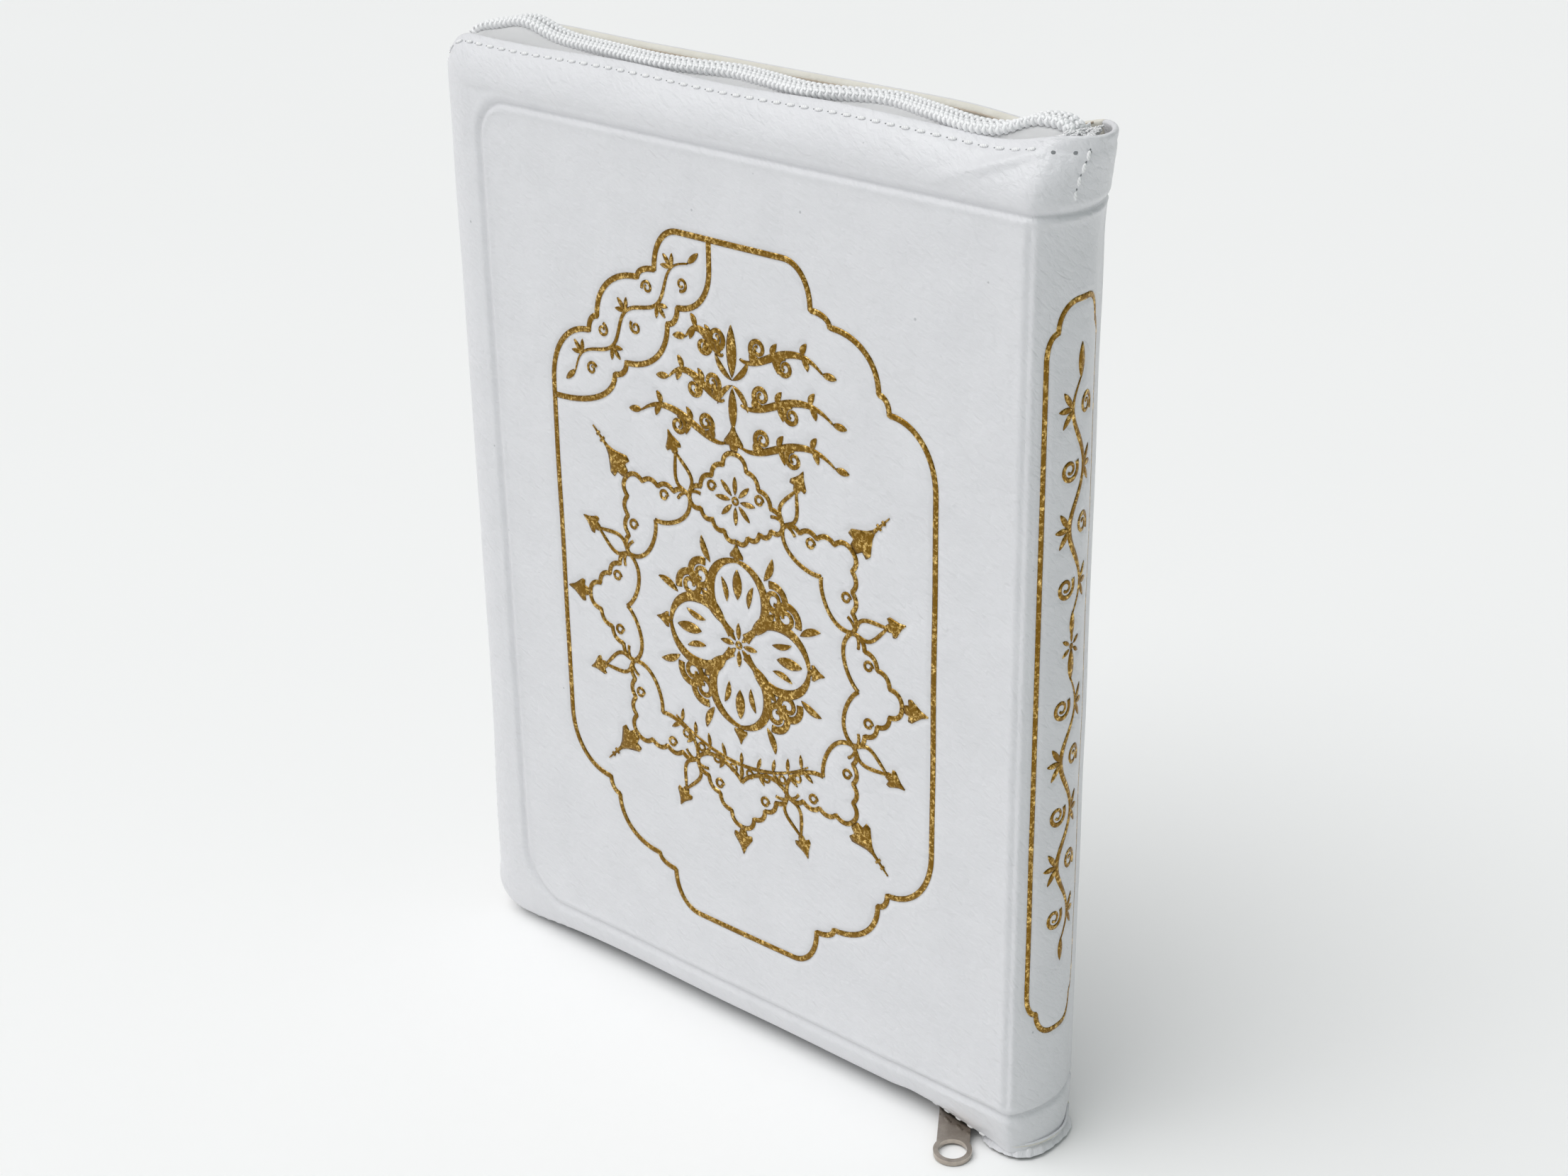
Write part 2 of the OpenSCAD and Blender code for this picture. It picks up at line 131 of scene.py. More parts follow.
def path_table():
    """The case's plan, by distance s from the front fore-edge, with softened creases."""
    s = np.arange(-10, S_END + 10, PATH_STEP)
    a = (s - S_TIP) / SPINE_R
    on_arc = (s > S_CREASE) & (s < S_BACK_CREASE)
    x = np.where(s < S_TIP, X_FORE + s, X_FORE + S_END - s)
    x = np.where(on_arc, X_TIP - SPINE_R + SPINE_R * np.cos(a), x)
    y = np.where(s < S_TIP, Y_FRONT, Y_BACK)
    y = np.where(on_arc, Y_MID + SPINE_R * np.sin(a), y)
    kernel = np.exp(-((np.arange(-12, 13) * PATH_STEP / CREASE_SOFTNESS) ** 2) / 2)
    kernel /= kernel.sum()
    x[20:-20] = np.convolve(x, kernel, "same")[20:-20]
    y[20:-20] = np.convolve(y, kernel, "same")[20:-20]
    tx, ty = np.gradient(x), np.gradient(y)
    length = np.hypot(tx, ty)
    return s, x, y, tx / length, ty / length


PATH = path_table()


def on_path(s):
    """Plan position and unit direction at s."""
    return [np.interp(s, PATH[0], column) for column in PATH[1:]]


# ---------- Rolled margins ----------

N_ROLL, N_HEM, N_FLAP = 24, 7, 4
N_MARGIN = N_ROLL + N_HEM + N_FLAP
HEM_R = 0.6
FLAP = 2.2
SEAM_ROW = 20.0  # row of the margin where the edge seam runs
SEAM_SUNK = 0.16


def margin(*points):
    """Section of a rolled margin from its Bezier points (outwards, inwards): the roll,
    then the hem turned in and its flap. Rows: out, in, hem out, hem in, normal out, normal in."""
    line = bezier(*np.array(points, float), np.linspace(0, 1, 200)[:, None])
    run = np.concatenate([[0], np.cumsum(np.hypot(*np.diff(line, axis=0).T))])
    at = np.linspace(0, run[-1], N_ROLL + 1)
    roll = np.stack([np.interp(at, run, line[:, i]) for i in range(2)])
    way = np.gradient(roll, axis=1)
    way /= np.hypot(*way)
    end = way[:, -1]
    inside = np.array([-end[1], end[0]])
    turn = np.linspace(0, math.pi, N_HEM + 1)[1:]
    hem = HEM_R * (inside[:, None] * (1 - np.cos(turn)) + end[:, None] * np.sin(turn))
    back = np.linspace(0, FLAP, N_FLAP + 1)[1:]
    flap = 2 * HEM_R * inside[:, None] - end[:, None] * back
    hem_way = inside[:, None] * np.sin(turn) + end[:, None] * np.cos(turn)
    flap_way = np.repeat(-end[:, None], N_FLAP, axis=1)
    still = np.repeat(roll[:, -1:], N_HEM + N_FLAP, axis=1)
    offset = np.concatenate([np.zeros((2, N_ROLL + 1)), hem, flap], axis=1)
    way = np.concatenate([way, hem_way, flap_way], axis=1)
    return np.concatenate([np.concatenate([roll, still], axis=1), offset, [way[1], -way[0]]])


HEAD = margin((0, -0.1), (4.0, -1.0), (7.6, 1.5), (9.6, 4.4))
HEAD_SPINE = margin((0, -0.1), (5, 0.0), (7.6, 4.4), (10.8, 5.0))
FORE = margin((0, 0), (5.5, -0.4), (10.8, 1.0), (11.9, 5.0))
TAIL = margin((0, 0), (6, -0.1), (11.5, 0.8), (11.9, 5.2))
TAIL_SPINE = margin((0, 0), (7.0, 0.1), (11.6, 0.2), (13.3, 1.6))


def take(section, k):
    """A margin section's six rows at the fractional rows k."""
    return np.stack([np.interp(k, np.arange(N_MARGIN + 1), row) for row in section])


FORE_NARROW = 1.7


def narrowed(sine, z):
    """How far the fore-edge lies inside its plain outline; it widens again at the tail.
    sine: of the margin's direction, 0 at the fore-edge."""
    return FORE_NARROW * (1 - smooth(abs(sine), 0.0, 1.0)) * smooth(z, 12, 70)


# ---------- Displacement of the skin ----------

NEAR_SPINE = (138, 158)  # distance from the fore-edge over which a cover's lip becomes the spine's


def groove_distance(s, z):
    """Signed distance to the pressed groove, positive inside the panel."""
    near = np.minimum(s, S_END - s)
    high = z > (GROOVE_LOW + GROOVE_HIGH) / 2
    r = np.where(high, GROOVE_R_HEAD, GROOVE_R_TAIL)
    dz = np.where(high, GROOVE_HIGH - z, z - GROOVE_LOW)
    ds = near - GROOVE_S
    corner = (ds < r) & (dz < r)
    return np.where(corner, r - np.hypot(r - ds, r - dz), np.minimum(ds, dz))


def ripple(s, z):
    """Slow waves that keep the padded skin from being perfectly flat."""
    waves = 0.0
    for length, turn, phase in ((61, 0.3, 0.4), (43, 1.4, 2.1), (29, 2.3, 4.0), (23, 0.9, 1.2)):
        waves = waves + length / 60 * np.sin(
            2 * math.pi * (s * math.cos(turn) + z * math.sin(turn)) / length + phase
        )
    return 0.05 * waves


def swell(s, z):
    """How far the skin stands out of its plain shape at s and z."""
    d = groove_distance(s, z)
    front = s < S_TIP
    out = ripple(s, z) - 0.62 * bell(d, 0, 0.62) + 0.2 * bell(d, -1.7, 1.1) + 0.2 * bell(d, 1.3, 0.6)
    out = out + 0.12 * bell(d, -4.5, 2.2)
    crease = np.minimum(abs(s - S_CREASE), abs(s - S_BACK_CREASE))
    inside = smooth(z, GROOVE_LOW, GROOVE_LOW + 3) * (1 - smooth(z, GROOVE_HIGH - 3, GROOVE_HIGH))
    out = out + inside * (0.1 * bell(crease, 1.5, 0.6) - 0.3 * bell(crease, 0, 0.6))
    # fold from the head seam down into the margin, beside the spine
    fold = (s - 129) * 0.5 - (z - 201.5)
    along = bell(s, 144, 9)
    return out + np.where(front, 0.75 * bell(fold, 0, 1.7) * along, 0)


def section_at(near, up, down, k):
    """The margin's rows at row k: a mix of head, tail and fore-edge, tighter at the spine."""
    to_spine = smooth(near, *NEAR_SPINE)
    head = take(HEAD, k) * (1 - to_spine) + take(HEAD_SPINE, k) * to_spine
    tail_way = smooth(near, 118, 154)
    tail = take(TAIL, k) * (1 - tail_way) + take(TAIL_SPINE, k) * tail_way
    return head * up + tail * down + take(FORE, k) * (1 - up - down)


def slack(s, near, up, down):
    """How far the lips stand out from wear: waves at the head, an arch over the pull."""
    front_sag = 0.3 * np.sin((s + 20) / 9) - 0.7 * bell(near, 141, 10) - 0.1
    back_sag = 0.6 - 0.3 * smooth(near, 20, 45) - 1.4 * bell(near, 142, 12)
    sag = np.where(s < S_TIP, front_sag, back_sag) * (1 - smooth(near, 146, 156))
    over_pull = smooth(near, 120, 127) - smooth(near, 147, 152)
    drop = 2.0 * bell(near, 8, 16) - 0.9 * over_pull
    return up * sag + down * drop


def skin(q_s, q_z, phi, k, deboss=0.0):
    """Points on the case's skin. q_s, q_z: place on the flat core; phi: direction of the
    margin, 90 degrees at the head, 0 at the fore-edge, -90 at the tail; k: row of the
    margin's section. Returns positions, outward normals and unrolled coordinates."""
    q_s, q_z, phi, k = np.broadcast_arrays(*(np.asarray(v, float) for v in (q_s, q_z, phi, k)))
    front = q_s < S_TIP
    near = np.minimum(q_s, S_END - q_s)
    to_spine = smooth(near, *NEAR_SPINE)
    up = smooth(np.sin(phi), 0.0, 1.0)
    down = smooth(-np.sin(phi), 0.0, 1.0)
    out, deep, hem_out, hem_in, n_out, n_in = section_at(near, up, down, k)

    share = np.clip(k / N_ROLL, 0, 1)
    out = out * (1 + CORNER_FILL * np.sin(2 * phi) ** 2)
    wide = np.where(front, 1.0, 1.0 + 0.9 * up * (1 - to_spine))
    hem_in = hem_in * wide
    out = out + share * (slack(q_s, near, up, down) - narrowed(np.sin(phi), q_z)) + hem_out * wide
    deep = deep + share * up * 1.1 * bell(near, 139, 12) * front

    x, y, tx, ty = on_path(q_s)
    inward = np.stack([-ty, tx])
    flat_s, flat_z = unrolled(q_s, phi, k)
    flat_z = flat_z + q_z
    fade = 1 - smooth(k, N_ROLL - 3, N_ROLL)
    rise = swell(flat_s, flat_z) * fade - SEAM_SUNK * bell(k, SEAM_ROW, 1.4) - deboss
    out = out + rise * n_out
    hem_in = hem_in + rise * n_in
    z = q_z + np.sin(phi) * out
    x, y = settle(q_s, x, y, z)
    pinch = (Y_MID - y) / HALF_T
    pinch = np.where(front, pinch, pinch * (1 - 0.6 * to_spine * up))
    x = x - np.cos(phi) * out + inward[0] * hem_in
    y = y + pinch * deep + inward[1] * hem_in
    normal = (-np.cos(phi) * n_out + inward[0] * n_in, inward[1] * n_in, np.sin(phi) * n_out)
    return np.stack([x, y, z], -1), np.stack(normal, -1), np.stack([flat_s, flat_z], -1)


SPINE_WORN = 2.2


def settle(s, x, y, z):
    """The worn spine: flatter below its head, and thinner towards the back cover."""
    below_head = 1 - smooth(z, 190, 208)
    bulge = 1.04 + 0.24 * smooth(z, 203, 212) - 0.38 * below_head + 0.14 * (1 - smooth(z, 1, 10))
    x = np.where(x > X_CREASE, X_CREASE + (x - X_CREASE) * bulge, x)
    back = smooth(s, S_TIP - 3, S_TIP + 11) * (1 - 0.55 * smooth(s, S_TIP + 9, S_BACK_CREASE))
    back = back * np.exp(-np.maximum(s - S_BACK_CREASE, 0) / 6)
    return x, y - SPINE_WORN * back * below_head


def unrolled(q_s, phi, k):
    """s and the extra z that a margin point has when the skin is laid flat."""
    run = k * 14.0 / N_ROLL
    side = np.where(q_s < S_TIP, -1.0, 1.0)
    return q_s + side * np.cos(phi) * run * (abs(np.cos(phi)) > 1e-6), np.sin(phi) * run


def face(s, z, deboss):
    """Points on the flat part of the skin, between the margins."""
    return skin(s, z, math.pi / 2, 0.0, deboss)


# ---------- Mesh helpers ----------


def new_object(name, verts, faces, materials, smooth_shade=True):
    """An object from vertices in millimetres."""
    mesh = bpy.data.meshes.new(name)
    mesh.from_pydata((np.asarray(verts, float) / MM).tolist(), [], faces)
    mesh.update()
    for material in materials:
        mesh.materials.append(material)
    mesh.polygons.foreach_set("use_smooth", [smooth_shade] * len(mesh.polygons))
    obj = bpy.data.objects.new(name, mesh)
    bpy.context.scene.collection.objects.link(obj)
    return obj


def set_uv(obj, flat):
    """A UV map from one place a vertex."""
    uv = obj.data.uv_layers.new(name="UVMap")
    loops = np.zeros(len(obj.data.loops), int)
    obj.data.loops.foreach_get("vertex_index", loops)
    uv.data.foreach_set("uv", flat.reshape(-1, 2)[loops].ravel())


def hand_in(obj, body, slot, *nodes):
    """Rides a piece on its body and hides the nodes it replaces; its slot is not used."""
    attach(obj, body)
    if nodes:
        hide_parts(*nodes)


def grid_faces(rows, columns, start=0, wrap_rows=False, wrap_columns=False, flip=False):
    """Quads of a grid whose vertex number is start + row * columns + column."""
    r = np.arange(rows if wrap_rows else rows - 1)
    c = np.arange(columns if wrap_columns else columns - 1)
    r, c = np.meshgrid(r, c, indexing="ij")
    r2, c2 = (r + 1) % rows, (c + 1) % columns
    quads = np.stack([r * columns + c, r * columns + c2, r2 * columns + c2, r2 * columns + c], -1)
    quads = quads.reshape(-1, 4) + start
    return (quads[:, ::-1] if flip else quads).tolist()


class Pieces:
    """Collects vertices and faces of many small solids for one mesh."""

    def __init__(self):
        self.verts = []
        self.faces = []
        self.count = 0

    def add(self, verts, faces):
        self.verts.append(np.asarray(verts, float).reshape(-1, 3))
        self.faces += [[i + self.count for i in f] for f in faces]
        self.count += len(self.verts[-1])

    def tube(self, points, radii, sides=8, closed=False, squash=None):
        """A tube round a line of points. radii: one radius or one a point; squash: a
        direction along which the section is flattened, and by how much."""
        points = np.asarray(points, float)
        n = len(points)
        radii = np.broadcast_to(np.asarray(radii, float), (n,))
        if closed:
            way = np.roll(points, -1, 0) - np.roll(points, 1, 0)
        else:
            way = np.gradient(points, axis=0)
        way /= np.linalg.norm(way, axis=1)[:, None] + 1e-12
        up = np.array([0.0, 0.0, 1.0]) if squash is None else np.asarray(squash[0], float)
        if abs(way @ up).max() > 0.97:
            up = np.array([0.31, 0.9, 0.3])
        side = np.cross(way, up)
        side /= np.linalg.norm(side, axis=1)[:, None]
        top = np.cross(side, way)
        flat = 1.0 if squash is None else squash[1]
        a = np.arange(sides) / sides * 2 * math.pi
        ring = (
            side[:, None] * np.cos(a)[None, :, None]
            + top[:, None] * np.sin(a)[None, :, None] * flat
        )
        verts = points[:, None] + ring * radii[:, None, None]
        faces = grid_faces(n, sides, wrap_rows=closed, wrap_columns=True, flip=True)
        if not closed:
            faces.append(list(range(sides)))
            faces.append(list(range((n - 1) * sides, n * sides))[::-1])
        self.add(verts, faces)

    def grain(self, centre, half, r, sides=8, up=(0, 0, 1), flat=1.0):
        """A rice-shaped grain: half is the vector from its middle to one end."""
        u = np.array([-1, -0.86, -0.55, 0, 0.55, 0.86, 1])
        points = np.asarray(centre) + u[:, None] * np.asarray(half)
        radii = r * np.array([0.2, 0.62, 0.92, 1, 0.92, 0.62, 0.2])
        self.tube(points, radii, sides, squash=(up, flat))

    def build(self, name, materials, smooth_shade=True):
        return new_object(name, np.concatenate(self.verts), self.faces, materials, smooth_shade)


def modifier(obj, kind, **values):
    made = obj.modifiers.new(kind.title(), kind)
    for key, value in values.items():
        setattr(made, key, value)
    return made


def soften(obj, width, segments=3, angle=0.6):
    """Rounds the edges sharper than that angle, in radians."""
    values = {"segments": segments, "limit_method": "ANGLE", "angle_limit": angle}
    modifier(obj, "BEVEL", width=width / MM, **values)


# ---------- Materials ----------


class Shader:
    """A Principled material with short helpers for its procedural nodes."""

    def __init__(self, name, color, roughness, **sockets):
        self.material = bpy.data.materials.new(name)
        self.material.use_nodes = True
        self.tree = self.material.node_tree
        self.bsdf = self.tree.nodes["Principled BSDF"]
        self.bsdf.inputs["Base Color"].default_value = (*color, 1)
        self.bsdf.inputs["Roughness"].default_value = roughness
        for key, value in sockets.items():
            self.bsdf.inputs[key.replace("_", " ")].default_value = value
        self.height = None

    def node(self, kind, inputs=(), **settings):
        made = self.tree.nodes.new("ShaderNode" + kind)
        for key, value in settings.items():
            setattr(made, key, value)
        for key, value in dict(inputs).items():
            if isinstance(value, bpy.types.NodeSocket):
                self.tree.links.new(value, made.inputs[key])
            else:
                made.inputs[key].default_value = value
        return made

    def drive(self, socket, value):
        self.tree.links.new(value, self.bsdf.inputs[socket])

    def place(self, source="Object", scale=(1, 1, 1), turn=0.0):
        """Coordinates, turned and then stretched: the object's own metres, or a UV map."""
        at = self.node("TexCoord").outputs[source]
        turned = self.node("Mapping", {"Vector": at, "Rotation": (0, 0, turn)}).outputs["Vector"]
        return self.node("Mapping", {"Vector": turned, "Scale": scale}).outputs["Vector"]

    def noise(self, vector, scale, detail=4.0, roughness=0.55, distortion=0.0):
        inputs = {"Vector": vector, "Scale": scale, "Detail": detail}
        inputs.update({"Roughness": roughness, "Distortion": distortion})
        return self.node("TexNoise", inputs).outputs["Fac"]

    def cracks(self, vector, scale, feature="DISTANCE_TO_EDGE"):
        inputs = {"Vector": vector, "Scale": scale}
        return self.node("TexVoronoi", inputs, feature=feature).outputs["Distance"]

    def bands(self, vector, scale, direction, distortion=0.0):
        inputs = {"Vector": vector, "Scale": scale, "Distortion": distortion}
        return self.node("TexWave", inputs, bands_direction=direction).outputs["Fac"]

    def times(self, a, b):
        return self.node("Math", {0: a, 1: b}, operation="MULTIPLY").outputs[0]

    def ramp(self, value, low, high, out_low=0.0, out_high=1.0):
        inputs = {"Value": value, "From Min": low, "From Max": high}
        inputs.update({"To Min": out_low, "To Max": out_high})
        return self.node("MapRange", inputs).outputs["Result"]

    def tint(self, value, dark, light):
        """Base colour between two colours, by value from 0 to 1."""
        inputs = {"Factor": value, 6: (*dark, 1), 7: (*light, 1)}
        self.drive("Base Color", self.node("Mix", inputs, data_type="RGBA").outputs[2])

    def rough(self, value, low, high):
        self.drive("Roughness", self.ramp(value, 0, 1, low, high))

    def bump(self, height, strength, distance):
        """Bump of that height field; calls add up."""
        inputs = {"Height": height, "Strength": strength, "Distance": distance / MM}
        if self.height is not None:
            inputs["Normal"] = self.height
        self.height = self.node("Bump", inputs).outputs["Normal"]
        self.drive("Normal", self.height)


def leather_material():
    m = Shader("leatherette", (0.72, 0.73, 0.74), 0.4, Coat_Weight=0.18, Coat_Roughness=0.24)
    long = m.place("UV", (0.5, 1.0, 1.0), math.radians(42))
    cross = m.place("UV", (0.6, 1.0, 1.0), math.radians(15))
    even = m.place("UV")
    wrinkle = m.noise(long, 62, 4, 0.55, 0.5)
    grain = m.noise(cross, 210, 3, 0.6, 0.3)
    crackle = m.ramp(m.cracks(long, 48), 0.0, 0.16)
    patch = m.noise(even, 9, 3, 0.5)
    speck = m.ramp(m.cracks(even, 9, "F1"), 0.022, 0.03)
    m.bump(wrinkle, 0.75, 0.46)
    m.bump(grain, 0.45, 0.14)
    m.bump(crackle, 0.4, 0.1)
    shade = m.times(m.ramp(patch, 0.3, 0.7, 0.93, 1.0), m.ramp(speck, 0, 1, 0.5, 1.0))
    m.tint(shade, (0.3, 0.31, 0.33), (0.765, 0.765, 0.79))
    m.rough(wrinkle, 0.27, 0.46)
    return m.material


def plain_material(name, color, roughness, spots, dark, light, bump, rough=None, **sockets):
    """Spots between two colours over a fine bump, and an uneven gloss. spots: scale and
    detail of their noise; bump and rough: the same, and then the two values they drive."""
    m = Shader(name, color, roughness, **sockets)
    place = m.place()
    m.tint(m.noise(place, *spots), dark, light)
    m.bump(m.noise(place, *bump[:-2]), *bump[-2:])
    if rough:
        m.rough(m.noise(place, *rough[:-2]), *rough[-2:])
    return m.material


def foil_material():
    m = Shader("gold_foil", (0.3, 0.18, 0.06), 0.32, Metallic=1.0)
    place = m.place()
    flake = m.noise(place, 1300, 4, 0.7)
    wear_and_glint = m.noise(place, 420, 4, 0.65)
    # Painted highlight: the bright gold is painted glint, where the fine flake and the coarser patches
    # are both high; between them is the foil's own dark brown.
    glint = m.times(m.ramp(flake, 0.49, 0.63), m.ramp(wear_and_glint, 0.38, 0.58))
    m.tint(glint, (0.21, 0.11, 0.014), (1.0, 0.7, 0.25))
    m.rough(flake, 0.16, 0.42)
    m.bump(flake, 0.75, 0.14)
    return m.material


def darker(color, share):
    return tuple(share * c for c in color)


def thread_material(name="thread", color=(0.94, 0.94, 0.95)):
    m = Shader(name, color, 0.55, Sheen_Weight=0.25)
    strand = m.bands(m.place(turn=0.5), 900, "DIAGONAL", 1.5)
    m.tint(strand, darker(color, 0.82), color)
    m.bump(strand, 0.35, 0.08)
    return m.material


def tape_material():
    m = Shader("zip_tape", (0.84, 0.84, 0.85), 0.75, Sheen_Weight=0.35)
    place = m.place("UV")
    weave = m.times(m.bands(place, 42, "Y"), m.bands(place, 26, "X"))
    fuzz = m.times(weave, m.noise(m.place(), 700))
    m.tint(fuzz, (0.88, 0.88, 0.89), (0.96, 0.96, 0.97))
    m.bump(weave, 0.7, 0.16)
    return m.material


def metal_material(name, color, low, high):
    m = Shader(name, color, low, Metallic=1.0)
    place = m.place()
    wear_and_glint = m.noise(place, 420, 5, 0.65)
    m.tint(m.ramp(wear_and_glint, 0.3, 0.7), darker(color, 0.72), color)
    m.rough(wear_and_glint, low, high)
    m.bump(m.noise(place, 1100, 3), 0.08, 0.02)
    return m.material


def paper_material(name, dark, light, scale=160):
    fibres, gloss = (2400, 3, 0.3, 0.05), (300, 0.78, 0.95)
    return plain_material(name, light, 0.85, (scale, 5, 0.6), dark, light, fibres, gloss)


def cloth_material(name, dark, light):
    m = Shader(name, light, 0.9, Sheen_Weight=0.3)
    place = m.place()
    weave = m.times(m.bands(place, 480, "Z"), m.bands(place, 480, "Y"))
    m.tint(weave, dark, light)
    m.bump(weave, 0.5, 0.12)
    return m.material


def hole_shade_material():
    # Painted shade: the dark inside of a needle hole, where the leather is pierced and the light does
    # not reach.
    m = Shader("needle_hole_shade", (0.1, 0.11, 0.12), 0.9)
    m.tint(m.noise(m.place(), 1800, 2), (0.16, 0.17, 0.18), (0.28, 0.29, 0.3))
    return m.material


LEATHER = leather_material()
BACKING = plain_material(
    "leather_backing", (0.76, 0.73, 0.66), 0.9, (320, 3), (0.66, 0.63, 0.55), (0.82, 0.8, 0.74),
    bump=(2600, 2, 0.5, 0.5, 0.15), Sheen_Weight=0.3,
)
FOIL = foil_material()
THREAD = thread_material()
TAPE = tape_material()
COIL = plain_material(
    "zip_coil", (0.87, 0.87, 0.88), 0.32, (500, 3), (0.91, 0.91, 0.92), (0.97, 0.97, 0.98),
    bump=(2600, 2, 0.2, 0.05), rough=(1400, 2, 0.25, 0.5), Coat_Weight=0.1,
)
LINT = thread_material("tape_lint", (0.95, 0.95, 0.96))
NICKEL = metal_material("nickel", (0.53, 0.47, 0.41), 0.1, 0.26)
STOP = metal_material("stop_metal", (0.66, 0.66, 0.67), 0.25, 0.45)
PAPER = paper_material("page_paper", (0.78, 0.73, 0.6), (0.88, 0.84, 0.72))
FLYLEAF = paper_material("flyleaf_paper", (0.74, 0.67, 0.5), (0.85, 0.79, 0.64))
LINING = paper_material("lining_paper", (0.78, 0.75, 0.67), (0.87, 0.84, 0.77), 90)
BOARD = paper_material("grey_board", (0.3, 0.28, 0.25), (0.46, 0.43, 0.39), 700)
KRAFT = paper_material("kraft_paper", (0.42, 0.3, 0.17), (0.56, 0.42, 0.26), 500)
HOLE_SHADE = hole_shade_material()
GLUE = paper_material("binding_glue", (0.72, 0.62, 0.36), (0.84, 0.76, 0.52), 220)
CLOTH = cloth_material("spine_cloth", (0.6, 0.58, 0.52), (0.84, 0.82, 0.77))
BAND = thread_material("band_thread", (0.74, 0.64, 0.4))
# Brown of old glue, darkened further as painted shade of the gap between the back lip and the tape.
LIP_GLUE_AND_SHADE = paper_material("lip_glue_and_gap_shade", (0.3, 0.24, 0.18), (0.62, 0.54, 0.45), 900)


# ---------- Ornament ----------


SIDE = -0.22  # depth of the foil strip's sides, below its pressed floor
CROWN = 0.1
STRIP = ((-0.5, SIDE), (-0.5, -0.02), (-0.3, 0.07), (0, CROWN), (0.3, 0.07), (0.5, -0.02), (0.5, SIDE))


class Ornament(Pieces):
    """Foil shapes drawn flat in millimetres, pressed on later. Lines are complex numbers,
    x + iz; vertices are x, z and height; marks are x, z and radius of what is pressed."""

    def __init__(self):
        super().__init__()
        self.marks = []

    def put(self, places, heights, faces):
        places = np.asarray(places)
        self.add(np.stack([places.real, places.imag, heights], -1), faces)

    def mark(self, line, radius):
        self.marks.append(np.stack([line.real, line.imag, np.broadcast_to(radius, line.shape)], 1))

    def stroke(self, points, width, closed=False):
        """A line of foil of that width, one number or one a point."""
        points = resample(np.asarray(points, complex), 0.45, closed)
        n = len(points)
        width = np.interp(np.linspace(0, 1, n), np.linspace(0, 1, np.size(width)), np.ravel(width))
        if closed:
            way = np.roll(points, -1) - np.roll(points, 1)
        else:
            way = np.gradient(points)
        side = 1j * way / (abs(way) + 1e-9)
        section = np.array(STRIP)
        places = points[:, None] + side[:, None] * section[None, :, 0] * width[:, None]
        m = len(section)
        faces = grid_faces(n, m, wrap_rows=closed, wrap_columns=True)
        if not closed:
            faces += [list(range(m))[::-1], list(range((n - 1) * m, n * m))]
        self.put(places, np.broadcast_to(section[None, :, 1], places.shape), faces)
        self.mark(points, width / 2)

    def fill(self, outline):
        """A solid shape whose outline can be seen whole from its middle."""
        outline = resample(np.asarray(outline, complex), 0.35, True)
        n = len(outline)
        centre = outline.mean()
        rings = [outline, outline, centre + (outline - centre) * 0.72]
        places = np.concatenate([*rings, [centre, centre]])
        heights = np.repeat([SIDE, 0.0, CROWN, 0.12, SIDE], [n, n, n, 1, 1])
        faces = grid_faces(3, n, wrap_columns=True, flip=True)
        turn = [(i, (i + 1) % n) for i in range(n)]
        faces += [[2 * n + a, 2 * n + b, 3 * n][::-1] for a, b in turn]
        faces += [[a, b, 3 * n + 1] for a, b in turn]
        if signed_area(outline) > 0:
            faces = [f[::-1] for f in faces]
        self.put(places, heights, faces)
        for size in (1.0, 0.6, 0.2):
            self.mark(centre + (outline - centre) * size, 0.3)

    def press(self, name, middle_s, body, replaced):
        """Lays the foil on the pressed skin, with its middle line at that s."""
        x, z, height = np.concatenate(self.verts).T
        points, normals, _ = face(x + middle_s, z, DEBOSS)
        verts = points + normals * (height + 0.05)[:, None]
        hand_in(new_object(name, verts, self.faces, [FOIL]), body, "foil", replaced)


def resample(points, step, closed=False):
    """Points at an even spacing along a line."""
    if closed:
        points = np.append(points, points[0])
    run = np.concatenate([[0], np.cumsum(abs(np.diff(points)))])
    n = max(3, int(round(run[-1] / step)) + 1)
    at = np.linspace(0, run[-1], n)
    made = np.interp(at, run, points.real) + 1j * np.interp(at, run, points.imag)
    return made[:-1] if closed else made


def signed_area(outline):
    ahead = np.roll(outline, -1)
    return np.sum(outline.real * ahead.imag - outline.imag * ahead.real)


def curve(a, b, c, d, n=14):
    """A cubic Bezier line."""
    return bezier(a, b, c, d, np.linspace(0, 1, n))


def step_arc(a, b, flat_first=True, k=0.58):
    """A quarter-round step from a to b, level at one end and upright at the other."""
    dx, dz = (b - a).real, (b - a).imag
    if flat_first:
        return curve(a, a + k * dx, b - 1j * k * dz, b)
    return curve(a, a + 1j * k * dz, b - k * dx, b)


def join(*lines):
    return np.concatenate([np.atleast_1d(np.asarray(line, complex)) for line in lines])


def mirror_x(line):
    return -np.conj(line)


def scallops(a, b, count, height):
    """A line from a to b in small round bumps, bulging to its left."""
    t = np.linspace(0, 1, count * 8 + 1)
    bump = abs(np.sin(t * count * math.pi)) ** 0.8
    return a + (b - a) * t + 1j * (b - a) / abs(b - a) * height * bump


def leaf(root, tip, width, bend=0.0):
    """Outline of a pointed leaf from root to tip."""
    way = tip - root
    side = 1j * way
    w = width / abs(way)
    low, high = root + way * 0.3, root + way * 0.75
    one = curve(root, low + side * (w + bend), high + side * (w * 0.8 + bend), tip)
    two = curve(tip, high - side * (w * 0.8 - bend), low - side * (w - bend), root)
    return join(one, two[1:-1])


def spiral(centre, r_out, r_in, start, turns, n=60):
    """A spiral from its outer end inwards; negative turns wind clockwise."""
    t = np.linspace(0, 1, n)
    r = r_out + (r_in - r_out) * t**0.8
    return centre + r * np.exp(1j * (start + 2 * math.pi * turns * t))


